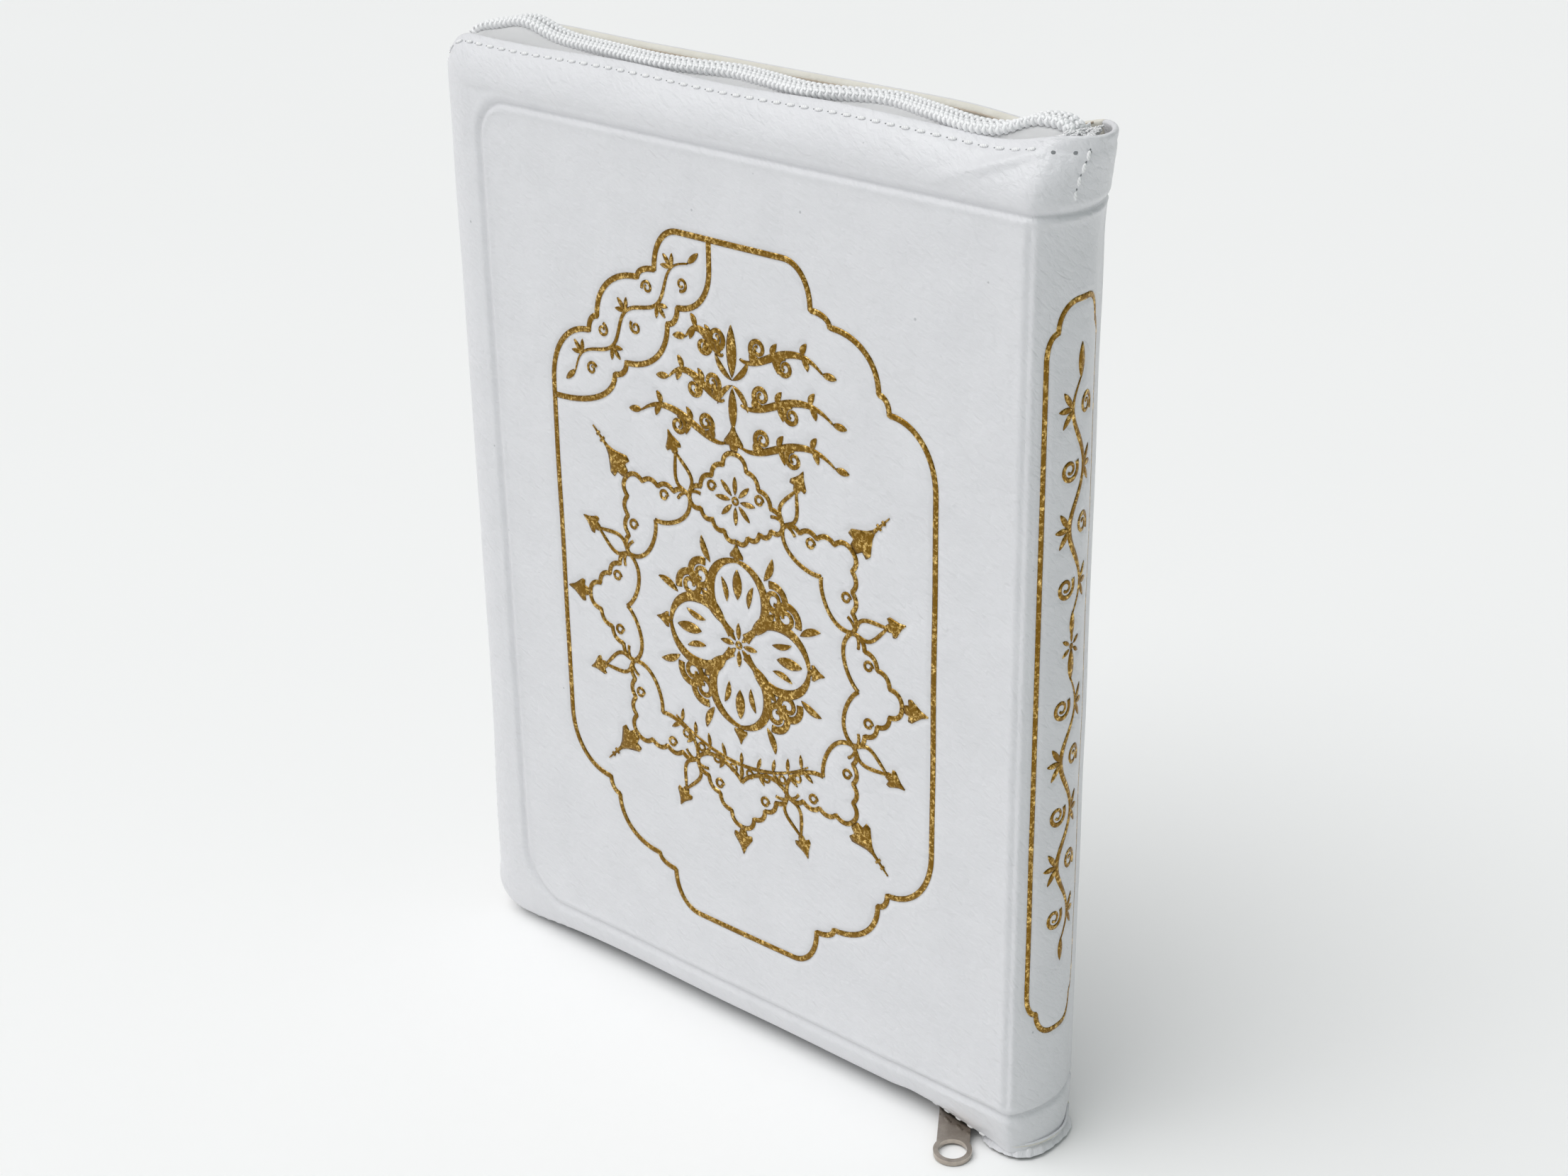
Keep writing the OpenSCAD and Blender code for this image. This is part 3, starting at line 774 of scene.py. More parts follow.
def spade(root, way, size):
    """Outline of a solid finial: a pointed head with two swept-back barbs."""
    barb = [0.0, 0.22 + 0.05j, 0.3 + 0.35j, 0.62 + 0.3j, 0.66 + 0.55j]
    half = np.array([*barb, 0.42 + 0.85j, 0.2 + 1.15j, 0.1 + 1.4j, 1.62j])
    outline = join(half, mirror_x(half)[::-1][1:-1])
    return root + outline * size * way / 1j


# Corners between the arcs of the frame's upper right quarter, from its middle
FRAME_POINTS = [77.4j, 13.5 + 77.4j, 20.1 + 68.5j, 24.8 + 66.1j, 36.6 + 55.5j, 39.1 + 52j, 50.2 + 38.5j]
LINE_W = 1.2


def frame_quarter():
    """Upper right quarter of the lobed frame, from top to side."""
    p = FRAME_POINTS
    arcs = [step_arc(p[i], p[i + 1]) for i in range(1, 6)]
    return join(p[0], *arcs, 50.2 + 0j)


def draw_frame(art):
    quarter = frame_quarter()
    half = join(quarter, np.conj(quarter)[::-1][1:])
    art.stroke(join(half, mirror_x(half)[::-1][1:-1]) + 1j * FRAME_Z, LINE_W, closed=True)
    # inner side of the corner cartouche
    p = [-5.3 + 71.5j, -14.1 + 61.9j, -16.9 + 58j, -28.8 + 47.2j, -32.2 + 44j, -50 + 35.6j]
    arcs = [step_arc(p[i], p[i + 1], flat_first=False) for i in range(5)]
    art.stroke(join(-5.3 + 77.4j, *arcs) + 1j * FRAME_Z, LINE_W)


def draw_cartouche(art):
    """A twining branch with paired leaves along the corner cartouche."""
    a, b = -43.5 + 42.5j, -11.0 + 71.5j
    way = (b - a) / abs(b - a)
    t = np.linspace(0, 1, 70)
    wave = 1.7 * np.sin(t * 5 * math.pi)
    stem = a + (b - a) * t + 1j * way * wave + 1j * FRAME_Z
    art.stroke(stem, [0.35, 0.8, 0.8, 0.8, 0.35])
    for i in range(5):
        u = (i + 0.5) / 5
        side = 1 if i % 2 == 0 else -1
        crest = a + (b - a) * u + 1j * way * side * 1.7 + 1j * FRAME_Z
        for turn in (-0.8, 0.0, 0.8):
            tip = crest + 1j * way * side * np.exp(1j * turn * side) * (3.4 if turn == 0 else 3.0)
            art.fill(leaf(crest, tip, 0.75))
        hollow = a + (b - a) * u - 1j * way * side * 2.2 + 1j * FRAME_Z
        art.stroke(spiral(hollow, 1.5, 0.5, 0.4 + i, 1.2 * side, 24), [0.7, 0.5])
    for end, sign in ((a, -1), (b, 1)):
        art.fill(leaf(end + 1j * FRAME_Z, end + 1j * FRAME_Z + sign * way * 4.0, 1.0))


def draw_star(art):
    """Two scalloped squares that cross, cusped cells inside, finials outside."""
    centre = 1j * STAR_Z
    half = 30.1
    tip_r = half * math.sqrt(2)
    base_r = half / math.cos(math.pi / 8)
    for i in range(8):
        turn = np.exp(1j * (math.pi / 2 + i * math.pi / 4))
        tip = tip_r * turn
        low = base_r * turn * np.exp(-1j * math.pi / 8)
        high = base_r * turn * np.exp(1j * math.pi / 8)
        for a, b, side in ((tip, low, 1), (tip, high, -1)):
            line = scallops(a, b, 4, 1.05) if side > 0 else scallops(b, a, 4, 1.05)
            art.stroke(centre + line, [1.05])
            inward = turn * np.exp(-1j * side * math.pi / 8 * 1.6)
            eye = spiral((a * 0.42 + b * 0.58) - 1.5 * inward, 1.15, 0.75, 0, 1.0, 18)
            art.stroke(centre + eye, [0.65])
        if i == 0:
            drop = centre + 23.6 * turn
            art.stroke(scallops(centre + low, drop, 4, 1.05), [1.05])
            art.stroke(scallops(drop, centre + high, 4, 1.05), [1.05])
        else:
            cusp = 31.6 * turn
            for base in (low, high):
                mid = (cusp + base) / 2
                near = cusp - turn * 2.6 + (mid - cusp) * 0.3
                far = mid + -turn * 4.6 * 1.1 + (base - mid) * 0.5
                art.stroke(centre + curve(cusp, near, far, base), [0.95])
        big = 1.0 if i % 2 == 0 else 1.3
        art.fill(centre + spade(tip + turn * 0.3, turn, 3.9 * big))
        if i % 2 == 1:
            spire = tip + turn * (0.3 + 6.2 * big)
            art.stroke(centre + np.array([spire - turn, spire + turn * 4.6]), [0.9, 0.3])
            for u, w in ((1.0, 1.5), (2.6, 1.1)):
                bar, reach = spire + turn * u, 1j * turn * w / 2
                art.stroke(centre + np.array([bar - reach, bar + reach]), [0.6])
        # small finial on an open ogive between two star tips
        way = turn * np.exp(1j * math.pi / 8)
        root, neck = base_r * way, (base_r + 9.6) * way
        for side in (-1, 1):
            spread = 1j * side * way
            start = root + 1.0 * spread + 1.6 * way
            wide = root + 3.6 * spread + 3.6 * way
            line = curve(start, wide, neck + 1.4 * spread - 3.5 * way, neck)
            art.stroke(centre + line, [0.85, 0.85, 0.85, 0.6])
            bend, end = root + 1.8 * spread + 1.4 * way, root + 3.4 * spread + 0.2 * way
            art.stroke(centre + curve(root, root + 1.2 * way, bend, end), [0.7])
        art.fill(centre + spade(neck - 0.4 * way, way, 3.3))


def draw_scroll_panel(art):
    """Mirrored scrolls and leaves in the upper field of the frame."""
    base = 1j * (FRAME_Z + 38)
    leaf_tips = [(0.18, 1.4 + 3j), (0.47, 1.3 + 3.1j), (0.47, 1.6 - 3j)]
    leaf_tips += [(0.82, 1.2 + 2.9j), (0.82, 1.5 - 2.6j)]
    rows = (19.5, 23.0, 12.0), (10.0, 25.5, 17.0), (1.0, 26.0, 25.0)
    for side in (1, -1):
        def put(line):
            return base + (line if side > 0 else mirror_x(line))

        for z, reach_right, reach_left in rows:
            reach = reach_right if side > 0 else reach_left
            low, high = 0.3 * reach + 1j * (z - 5.2), 0.64 * reach + 1j * (z + 6.0)
            stem = curve(2.2 + 1j * (z - 2.6), low, high, reach + 1j * (z - 1.0), 40)
            art.stroke(put(stem), [0.5, 1.5, 1.7, 1.2, 0.4])
            for u, r, turns, lift in ((0.3, 2.3, -1.5, 2.6), (0.62, 2.2, 1.45, -2.7)):
                c = stem[int(u * 39)] + 1j * lift
                scroll = spiral(c, r, 0.55, -math.copysign(math.pi / 2, lift), turns, 40)
                art.stroke(put(scroll), [1.3, 1.0, 0.6])
            for u, tip in leaf_tips:
                at = stem[int(u * 39)]
                art.fill(put(leaf(at, at + tip, 1.05, 0.15)))
            art.fill(put(leaf(stem[-1], stem[-1] + 3.6 - 0.4j, 1.1)))
    art.fill(base + leaf(12.5j, 23.5j, 1.9))
    art.fill(base + leaf(10.5j, 1.5j, 1.6))
    for side in (1, -1):
        art.fill(base + leaf(12.0j, side * 4.3 + 17.0j, 1.0, -0.15 * side))
        art.fill(base + leaf(11.0j, side * 4.0 + 6.2j, 0.9, 0.15 * side))


def draw_rosette(art, centre, petals, r, width):
    for i in range(petals):
        way = np.exp(1j * (math.pi / 2 + 2 * math.pi * i / petals))
        art.fill(centre + leaf(way * r * 0.24, way * r, width))
    art.stroke(centre + spiral(0, r * 0.13, r * 0.13, 0, 1, 16)[:-1], [0.6], closed=True)


MEDALLION_SIZE = 1.14


def draw_medallion(art):
    """Four-fold interlaced medallion in the middle of the star."""
    centre = 1j * (STAR_Z + 0.4)
    first, marked = len(art.verts), len(art.marks)
    for i in range(4):
        way = np.exp(1j * (math.pi / 2 + i * math.pi / 2))
        side = 1j * way
        for hand in (1, -1):
            s = side * hand
            loop = curve(way * 2.2 + s * 1.2, way * 6 + s * 9.5, way * 16 + s * 7.5, way * 16.6, 40)
            art.stroke(centre + loop, [0.7, 1.6, 2.0, 1.6, 0.7])
            c = way * 11.4 + s * 8.8
            scroll = spiral(c, 3.1, 0.7, np.angle(way) - hand * 0.4, hand * 1.6, 46)
            art.stroke(centre + scroll, [1.5, 1.3, 0.7])
            art.fill(centre + leaf(way * 14.6 + s * 6.4, way * 19.4 + s * 8.4, 1.1, 0.1 * hand))
            art.fill(centre + leaf(way * 8 + s * 2.6, way * 12.6 + s * 3.8, 0.9, -0.1 * hand))
        art.fill(centre + leaf(way * 9.0, way * 15.0, 1.6))
        art.fill(centre + spade(way * 16.4, way, 2.4))
        knot = way * np.exp(1j * math.pi / 4)
        art.fill(centre + leaf(knot * 4.2, knot * 12.4, 1.9))
    draw_rosette(art, centre, 8, 4.4, 0.8)
    middle = np.array([0, centre.imag])
    for rows in art.verts[first:] + art.marks[marked:]:
        rows[:, :2] = middle + (rows[:, :2] - middle) * MEDALLION_SIZE


GARLAND_R = 31.5


def draw_garland(art):
    """A hanging garland of leaves under the medallion."""
    centre = 1j * (STAR_Z + 4)
    angles = np.linspace(-math.pi / 2 - 0.62, -math.pi / 2 + 0.62, 60)
    art.stroke(centre + GARLAND_R * np.exp(1j * angles), [0.35, 0.8, 0.8, 0.35])
    for i, a in enumerate(np.linspace(angles[3], angles[-4], 9)):
        out = np.exp(1j * a)
        lean = 1j * out * np.sign(i - 4) * 0.9
        root = GARLAND_R * out
        for reach, size in ((3.4, 0.8), (-3.0, 0.7)):
            art.fill(centre + leaf(root, root + out * reach + lean * 1.6, size))
        if i < 8:
            berry = (GARLAND_R + 1.5) * np.exp(1j * (a + (angles[-1] - angles[0]) / 18))
            art.stroke(centre + spiral(berry, 0.9, 0.9, 0, 1, 14)[:-1], [0.55], closed=True)


def front_ornament():
    art = Ornament()
    draw_frame(art)
    draw_cartouche(art)
    draw_star(art)
    draw_scroll_panel(art)
    draw_rosette(art, 1j * (STAR_Z + 32.4), 8, 5.4, 0.85)
    draw_medallion(art)
    draw_garland(art)
    return art


SPINE_HALF = 9.3
SPINE_Z_LOW, SPINE_Z_HIGH = 29.0, 182.6


def spine_ornament():
    """Lobed frame and two climbing vines, drawn about the spine's middle line."""
    art = Ornament()
    top = 1j * SPINE_Z_HIGH
    knee, shoulder = 6.7 + top - 5.4j, SPINE_HALF + top - 10.5j
    half = join(top, step_arc(1.8 + top, knee), step_arc(knee, shoulder), SPINE_HALF + 112j)
    middle = (SPINE_Z_LOW + SPINE_Z_HIGH) / 2
    lower = np.conj(half - 1j * middle)[::-1] + 1j * middle
    right = join(half, lower)
    art.stroke(join(right, mirror_x(right)[::-1][1:-1]), LINE_W, closed=True)
    for low, high, waves in ((121.0, 168.0, 4), (49.5, 107.5, 5)):
        t = np.linspace(0, 1, 120)
        stem = 2.3 * np.sin(t * waves * math.pi) + 1j * (low + (high - low) * t)
        art.stroke(stem, [0.4, 1.3, 1.3, 1.3, 0.4])
        for i in range(waves):
            side = 1 if i % 2 == 0 else -1
            z = low + (high - low) * (i + 0.5) / waves
            tendril = spiral(-side * 2.6 + 1j * z, 2.6, 0.6, 0.6 * side, -1.5 * side, 40)
            art.stroke(tendril, [1.1, 1.0, 0.6])
            root = side * 2.3 + 1j * z
            for lift, reach in ((3.6, 2.6), (0.0, 3.8), (-3.6, 2.6)):
                art.fill(leaf(root, root + side * reach + 1j * lift, 0.95))
        art.fill(leaf(1j * (high - 0.6), 1j * (high + 6.5), 1.6))
        art.fill(leaf(1j * (low + 0.6), 1j * (low - 5.0), 1.3))
    draw_rosette(art, 1j * 114.2, 6, 3.4, 0.7)
    return art


def press_depth(marks, s_axis, z_axis):
    """How deep the foil's pressing is at each point of an even grid."""
    ds, dz = s_axis[1] - s_axis[0], z_axis[1] - z_axis[0]
    near = np.full((len(z_axis), len(s_axis)), 9.0)
    column = np.round((marks[:, 0] - s_axis[0]) / ds).astype(int)
    row = np.round((marks[:, 1] - z_axis[0]) / dz).astype(int)
    reach = 6
    for i in range(-reach, reach + 1):
        for j in range(-reach, reach + 1):
            c, r = column + i, row + j
            ok = (c >= 0) & (c < len(s_axis)) & (r >= 0) & (r < len(z_axis))
            gap = np.hypot(s_axis[c[ok]] - marks[ok, 0], z_axis[r[ok]] - marks[ok, 1])
            np.minimum.at(near, (r[ok], c[ok]), gap - marks[ok, 2])
    return DEBOSS * (1 - smooth(near, 0.15, 0.95))


# ---------- Leather skins ----------


def skin_grid(s_low, s_high, s_step, z_step, margin_at_low):
    """Arrays q_s, q_z, phi and k of a skin from s_low to s_high, with its margins, and the
    two even axes of its core."""
    s_axis = np.linspace(s_low, s_high, int(round((s_high - s_low) / s_step)) + 1)
    z_axis = np.linspace(Z_CORE_LOW, Z_CORE_HIGH, int(round((Z_CORE_HIGH - Z_CORE_LOW) / z_step)) + 1)
    rows = np.arange(1, N_MARGIN + 1)
    k_z = np.concatenate([-rows[::-1], np.zeros(len(z_axis)), rows])
    q_z = np.concatenate([np.full(N_MARGIN, z_axis[0]), z_axis, np.full(N_MARGIN, z_axis[-1])])
    if margin_at_low:
        k_s = np.concatenate([rows[::-1], np.zeros(len(s_axis))])
        q_s = np.concatenate([np.full(N_MARGIN, s_axis[0]), s_axis])
    else:
        k_s = np.concatenate([np.zeros(len(s_axis)), rows])
        q_s = np.concatenate([s_axis, np.full(N_MARGIN, s_axis[-1])])
    q_s, q_z = np.meshgrid(q_s, q_z)
    k_s, k_z = np.meshgrid(k_s, k_z)
    up, side = abs(k_z), k_s
    k = np.maximum(up, side)
    small = np.minimum(up, side) / np.maximum(k, 1e-9)
    angle = np.where(side >= up, small * math.pi / 4, math.pi / 2 - small * math.pi / 4)
    phi = np.where(k_z < 0, -angle, angle)
    return q_s, q_z, phi, k, s_axis, z_axis


def build_skin(name, grid, depth, lined_from=None):
    """A leather skin over that grid, pressed in by that depth; from the margin row
    lined_from on, its cloth backing shows outside."""
    q_s, q_z, phi, k = grid
    rows, columns = q_s.shape
    points, _, flat = skin(q_s, q_z, phi, k, deboss=depth)
    faces = grid_faces(rows, columns)
    obj = new_object(name, points.reshape(-1, 3), faces, [LEATHER, BACKING])
    set_uv(obj, flat / UV_MM)
    if lined_from:
        cell = np.maximum(k[:-1, :-1], k[1:, 1:]) > lined_from
        obj.data.polygons.foreach_set("material_index", cell.astype(int).ravel())
    modifier(obj, "SOLIDIFY", thickness=0.5 / MM, offset=-1, material_offset=1)
    return obj


def hinge_blend(obj):
    """Bakes the skin's transform into its mesh."""
    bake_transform(obj)


S_SEAM = S_BACK_CREASE - 1.5
FRONT_STEP, BACK_STEP = 0.42, 0.9

front_art = front_ornament()
spine_art = spine_ornament()
front_marks = np.concatenate(front_art.marks) + [DESIGN_S, 0, 0]
spine_marks = np.concatenate(spine_art.marks) + [S_TIP, 0, 0]

*front_grid, s_axis, z_axis = skin_grid(S_CORE, S_SEAM, FRONT_STEP, FRONT_STEP, True)
pressed = np.zeros(front_grid[0].shape)
pressed[N_MARGIN:-N_MARGIN, N_MARGIN:] = press_depth(
    np.concatenate([front_marks, spine_marks]), s_axis, z_axis
)
front_skin = build_skin("front_skin", front_grid, pressed)
hinge_blend(front_skin)
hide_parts("front_leather", "front_padding", "spine_leather", "spine_padding")

*back_grid, _, _ = skin_grid(S_SEAM, S_END - CORNER, BACK_STEP, BACK_STEP, False)
back_skin = build_skin("back_skin", back_grid, 0.0, lined_from=N_ROLL + 2)
hinge_blend(back_skin)
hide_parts("back_leather", "back_padding")


LIP_SQUARE = 2.6  # exponent of the lip's superellipse
LIP_CENTRE = (70.5, 3.5)


def build_tail_lip():
    """Half-round end of the spine skin, spread on the floor under the tail."""
    a = np.radians(np.linspace(-158, 152, 150))
    rim = abs(np.cos(a)) ** LIP_SQUARE + abs(np.sin(a)) ** LIP_SQUARE
    ring = np.stack([7.8 * np.cos(a), 10.0 * np.sin(a)], axis=-1) / rim[:, None] ** (1 / LIP_SQUARE)
    ends = smooth(abs(np.degrees(a)), 125, 160)
    rows = []
    dome = (0.5, 2.9), (0.66, 2.8), (0.8, 2.7), (0.88, 2.3), (0.93, 1.9), (0.97, 1.35), (1.0, 0.95)
    for size, z in dome:
        pucker = 0.015 * np.sin(a * 23) * smooth(size, 0.7, 0.9) + 0.01 * np.sin(a * 41 + 1)
        at = ring * (size * (1 + pucker * 0.5) - 0.06 * ends)[:, None] + LIP_CENTRE
        wavy = 6 * pucker * smooth(size, 0.6, 0.95) * (1 - smooth(size, 0.97, 1))
        rows.append(np.column_stack([at, z + wavy]))
    verts = np.stack(rows, axis=1)
    n, m = verts.shape[:2]
    obj = new_object("tail_lip_skin", verts.reshape(-1, 3), grid_faces(n, m), [LEATHER, BACKING])
    set_uv(obj, verts[..., :2] / UV_MM)
    modifier(obj, "SOLIDIFY", thickness=0.7 / MM, offset=-1, material_offset=1)
    soften(obj, 0.2, 2, 0.9)
    hand_in(obj, "spine", "leather", "tail_lip")


build_tail_lip()

# ---------- Foil ----------

front_art.press("front_foil_ornament", DESIGN_S, "front_cover", "front_foil")
spine_art.press("spine_foil_ornament", S_TIP, "spine", "spine_foil")


# ---------- Seams ----------

PITCH = 3.33
STITCH = 1.7
SEAM_R = 10.5  # radius of the edge seam round a corner


def rim(u):
    """Place on the margin u millimetres along its seam, from the head end of the hinge
    crease round the fore-edge to the tail end: q_s, q_z and phi."""
    corner = math.pi / 2 * SEAM_R
    head = S_CREASE - S_CORE
    side = Z_CORE_HIGH - Z_CORE_LOW
    u = np.asarray(u, float)
    turn_1 = np.clip((u - head) / corner, 0, 1)
    turn_2 = np.clip((u - head - corner - side) / corner, 0, 1)
    q_s = S_CREASE - np.clip(u, 0, head) + np.clip(u - head - 2 * corner - side, 0, None)
    q_z = Z_CORE_HIGH - np.clip(u - head - corner, 0, side)
    return q_s, q_z, math.pi / 2 * (1 - turn_1 - turn_2)


RIM_LENGTH = 2 * (S_CREASE - S_CORE) + math.pi * SEAM_R + Z_CORE_HIGH - Z_CORE_LOW


def seam(name, centre, count, body, replaced):
    """A run of stitches, each with a dark grain of painted shade in its needle hole. centre(i, along)
    gives the point and normal of the skin at stitch i, or a little further along the seam."""
    threads, hole_shades = Pieces(), Pieces()
    for i in range(count):
        at, normal = centre(i, 0.0)
        ahead, _ = centre(i, 0.5)
        step = ahead - at
        step /= np.linalg.norm(step)
        lean = np.cross(normal, step) * 0.12
        raised = 0.16 * float(smooth(normal[2], 0.1, 0.5))
        threads.grain(at + normal * raised, (step + lean) * STITCH / 2, 0.38, up=normal, flat=0.8)
        end = at + step * (STITCH / 2 + 0.3)
        # Painted shade of the needle hole: a dark flat grain just past each stitch.
        hole_shades.grain(end, step * 0.22, 0.17, up=normal, flat=0.25)
    hand_in(threads.build(name, [THREAD]), body, "thread", replaced)
    hand_in(hole_shades.build(name + "_hole_shades", [HOLE_SHADE]), body, "leather")


def on_skin(q_s, q_z, phi, k):
    point, normal, _ = skin(q_s, q_z, phi, k)
    return np.array(point, float).reshape(3), np.array(normal, float).reshape(3)


def front_seam_place(i, along, back=False):
    q_s, q_z, phi = rim(3.0 + i * PITCH + along)
    q_s = S_END - q_s if back else q_s
    return on_skin(q_s, q_z, phi, SEAM_ROW + 2.5 * smooth(-phi, 0.2, 1.2))


def back_seam_place(i, along):
    return front_seam_place(i, along, back=True)


def spine_seam_place(i, along):
    return on_skin(S_CREASE + 8.2, Z_CORE_HIGH, math.pi / 2, 2.2 + i * 5.2 + along)


RIM_STITCHES = int((RIM_LENGTH - 6) / PITCH)
seam("front_edge_stitches", front_seam_place, RIM_STITCHES, "front_cover", "front_stitches")
seam("back_edge_stitches", back_seam_place, RIM_STITCHES, "back_cover", "back_stitches")
seam("spine_head_stitches", spine_seam_place, 4, "spine", "spine_stitches")


def lip_glue_and_shade_line():
    """Line of old glue, and painted shade of the gap, where the back cover's turned-in edge meets the
    tape.
    """
    points = []
    for u in np.arange(1.0, RIM_LENGTH - 1.0, 0.5):
        q_s, q_z, phi = rim(u)
        at, normal = on_skin(S_END - q_s, q_z, phi, N_ROLL + 0.72 * N_HEM)
        points.append(at + normal * 0.05)
    made = Pieces()
    n = np.arange(len(points))
    made.tube(points, 0.2 + 0.06 * np.sin(n * 1.9) * np.sin(n * 0.37), 6)
    hand_in(made.build("back_lip_glue_and_shade_line", [LIP_GLUE_AND_SHADE]), "back_cover", "leather")


lip_glue_and_shade_line()


def spare_hole_shades():
    """Painted shade: three dark grains, one in each needle hole left open beside the head seam of the
    spine.
    """
    hole_shades = Pieces()
    for s in (1.2, 5.2, 8.2):
        at, normal = on_skin(S_CREASE + s, Z_CORE_HIGH, math.pi / 2, 19.3)
        hole_shades.grain(at, (0.35, 0.2, 0.0), 0.36, up=normal, flat=0.3)
    hand_in(hole_shades.build("spine_needle_hole_shades", [HOLE_SHADE]), "spine", "leather")


spare_hole_shades()

# ---------- Zip ----------

COIL_PITCH = 1.3
COIL_DEEP = 2.5  # how far the coil's middle lies inside the case outline
ZIP_END = box_mm("front_zip_coil")[1][0] + 5.4
ZIP_TAIL = box_mm("front_zip_tape")[1][0] - 6.6


def zip_loop():
    """Middle line between the two coil rows, from the head end beside the spine round to
    the tail end: run, x, y, z, the outward direction in the x-z plane, and how far the
    line stands above a plain loop."""
    r = CORNER - COIL_DEEP
    x_in, low, high = X_FORE + CORNER, Z_TAIL + CORNER, Z_HEAD - CORNER
    head = np.arange(ZIP_END, x_in, -0.2)
    turn = np.arange(0, math.pi / 2, 0.2 / r)
    full = r * (1 + CORNER_FILL * np.sin(2 * turn) ** 2)
    side = np.arange(high, low, -0.2)
    tail = np.arange(x_in, ZIP_TAIL, 0.2)
    quarter = math.pi / 2
    parts = (
        (head, high + r, quarter),
        (x_in - full * np.sin(turn), high + full * np.cos(turn), quarter + turn),
        (x_in - r, side, math.pi),
        (x_in - full * np.cos(turn), low - full * np.sin(turn), math.pi + turn),
        (tail, low - r, 3 * quarter),
    )
    x, z, angle = np.concatenate([np.stack(np.broadcast_arrays(*part)) for part in parts], axis=1)
    up = smooth(z, high - 30, high + 4)
    y = Y_MID + up * (meander(x) - Y_MID)
    hump = up * (rise(x) - (high + r))
    shrink = narrowed(np.sin(angle), z)
    x = x - np.cos(angle) * shrink
    z = z - np.sin(angle) * shrink + hump
    run = np.concatenate([[0], np.cumsum(np.hypot(np.hypot(np.diff(x), np.diff(y)), np.diff(z)))])
    return run, x, y, z, np.cos(angle), np.sin(angle), hump


def meander(x):
    """The slack zip wanders between the two lips along the head."""
    y = 2.4 + 1.9 * bell(x, -60, 15) - 1.5 * bell(x, -22, 12) + 1.2 * bell(x, -4, 7)
    y = y - 1.7 * bell(x, 16, 8) + 2.5 * bell(x, 33, 8) - 2.2 * bell(x, 55, 9)
    return y + 1.6 * smooth(x, 62, 69)


def rise(x):
    """Height of the coil's middle along the head: humps at both ends."""
    z = 210.9 + 2.2 * bell(x, -61, 7) - 0.4 * bell(x, 56, 6)
    return z + 2.1 * smooth(x, 60, 68) - 1.6 * smooth(x, 71, 75.5)


ZIP = zip_loop()


def on_zip(run, across, out):
    """Points beside the zip's middle line: across is towards +Y, out is away from the pages."""
    x, y, z, nx, nz = (np.interp(run, ZIP[0], column) for column in ZIP[1:6])
    return np.stack([x + nx * out, y + across, z + nz * out], axis=-1)


def coil(name, hand, node, body):
    """One coil row with the chain stitch that holds it to the tape. hand is -1 for the
    front row and +1 for the back row."""
    made = Pieces()
    length = ZIP[0][-1]
    turns = int(length / COIL_PITCH)
    t = np.arange(turns * 14) / 14
    a = 2 * math.pi * t
    across = hand * (1.36 + 1.0 * np.cos(a))
    made.tube(on_zip(t * COIL_PITCH, across, 0.72 * np.sin(a)), 0.36, 7)
    cord = np.arange(0, length, 0.6)
    made.tube(on_zip(cord, np.full(len(cord), hand * 1.4), 0.05), 0.8, 8)
    for i in range(turns - 1):
        u = (i + 0.5) * COIL_PITCH
        for side in (-1, 1):
            a = on_zip(u - 0.45, hand * (1.4 + side * 1.0), 0.62)
            b = on_zip(u + 0.5, hand * (1.4 + side * 0.42), 0.98)
            made.grain((a + b) / 2, (b - a) / 2, 0.36, 6)
    hand_in(made.build(name, [COIL]), body, "coil", node)


TAPE_THICK = 0.35


def tape(name, hand, node, body):
    """Woven tape from under its coil row out to the cover's lip, then tucked in below it."""
    run = np.arange(0, ZIP[0][-1], 0.7)
    lip = Y_FRONT + 6.2 if hand < 0 else Y_BACK - 5.4
    middle, z, hump = (np.interp(run, ZIP[0], ZIP[i]) for i in (2, 3, 6))
    over = smooth(z, Z_HEAD - 40, Z_HEAD - 6)
    reach = np.maximum(abs(lip - middle), 2.4)
    sink = over * (0.5 if hand < 0 else 1.6)
    rows = []
    for share, out in ((0.0, -0.6), (0.25, -0.55), (0.5, -0.4), (0.75, -0.3), (1.0, -0.5)):
        wave = 0.22 * np.sin(run / 5.1 + 3 * share + hand) * share * over
        near_lip = 1.1 * (1 - over) - sink - hump * over
        rows.append((reach * share, out + wave + near_lip * share**2))
    tucks = (0.5, -0.5, 0.5, 2.1), (2.0, -0.3, 0.8, 2.8), (3.4, 0.1, 2.8, 3.1)
    for past, down, past_head, down_head in tucks:
        beyond = reach + past + (past_head - past) * over
        rows.append((beyond, -down - (down_head - down + hump) * over))
    section = np.stack([np.stack(np.broadcast_arrays(*row)) for row in rows], axis=1)
    way = np.gradient(section, axis=1)
    way /= np.hypot(*way)
    under = section + TAPE_THICK * np.stack([way[1], -way[0]])
    loop = np.concatenate([section, under[:, ::-1]], axis=1)
    rows = [on_zip(run, hand * across, out) for across, out in loop.transpose(1, 0, 2)]
    loop = np.stack(rows, axis=1)
    n, m = len(run), section.shape[1]
    faces = grid_faces(n, 2 * m, wrap_columns=True, flip=hand < 0)
    ends = [list(range(2 * m)), list(range((n - 1) * 2 * m, n * 2 * m))[::-1]]
    faces += ends if hand < 0 else [e[::-1] for e in ends]
    obj = new_object(name, loop.reshape(-1, 3), faces, [TAPE])
    across = np.concatenate([np.arange(m), np.arange(m)[::-1]])
    set_uv(obj, np.stack(np.broadcast_arrays(run[:, None] / 10, across[None, :] / 8.0), -1))
    hand_in(obj, body, "tape", node)


FRAYS = 230
GOLDEN_ANGLE = 2.39996


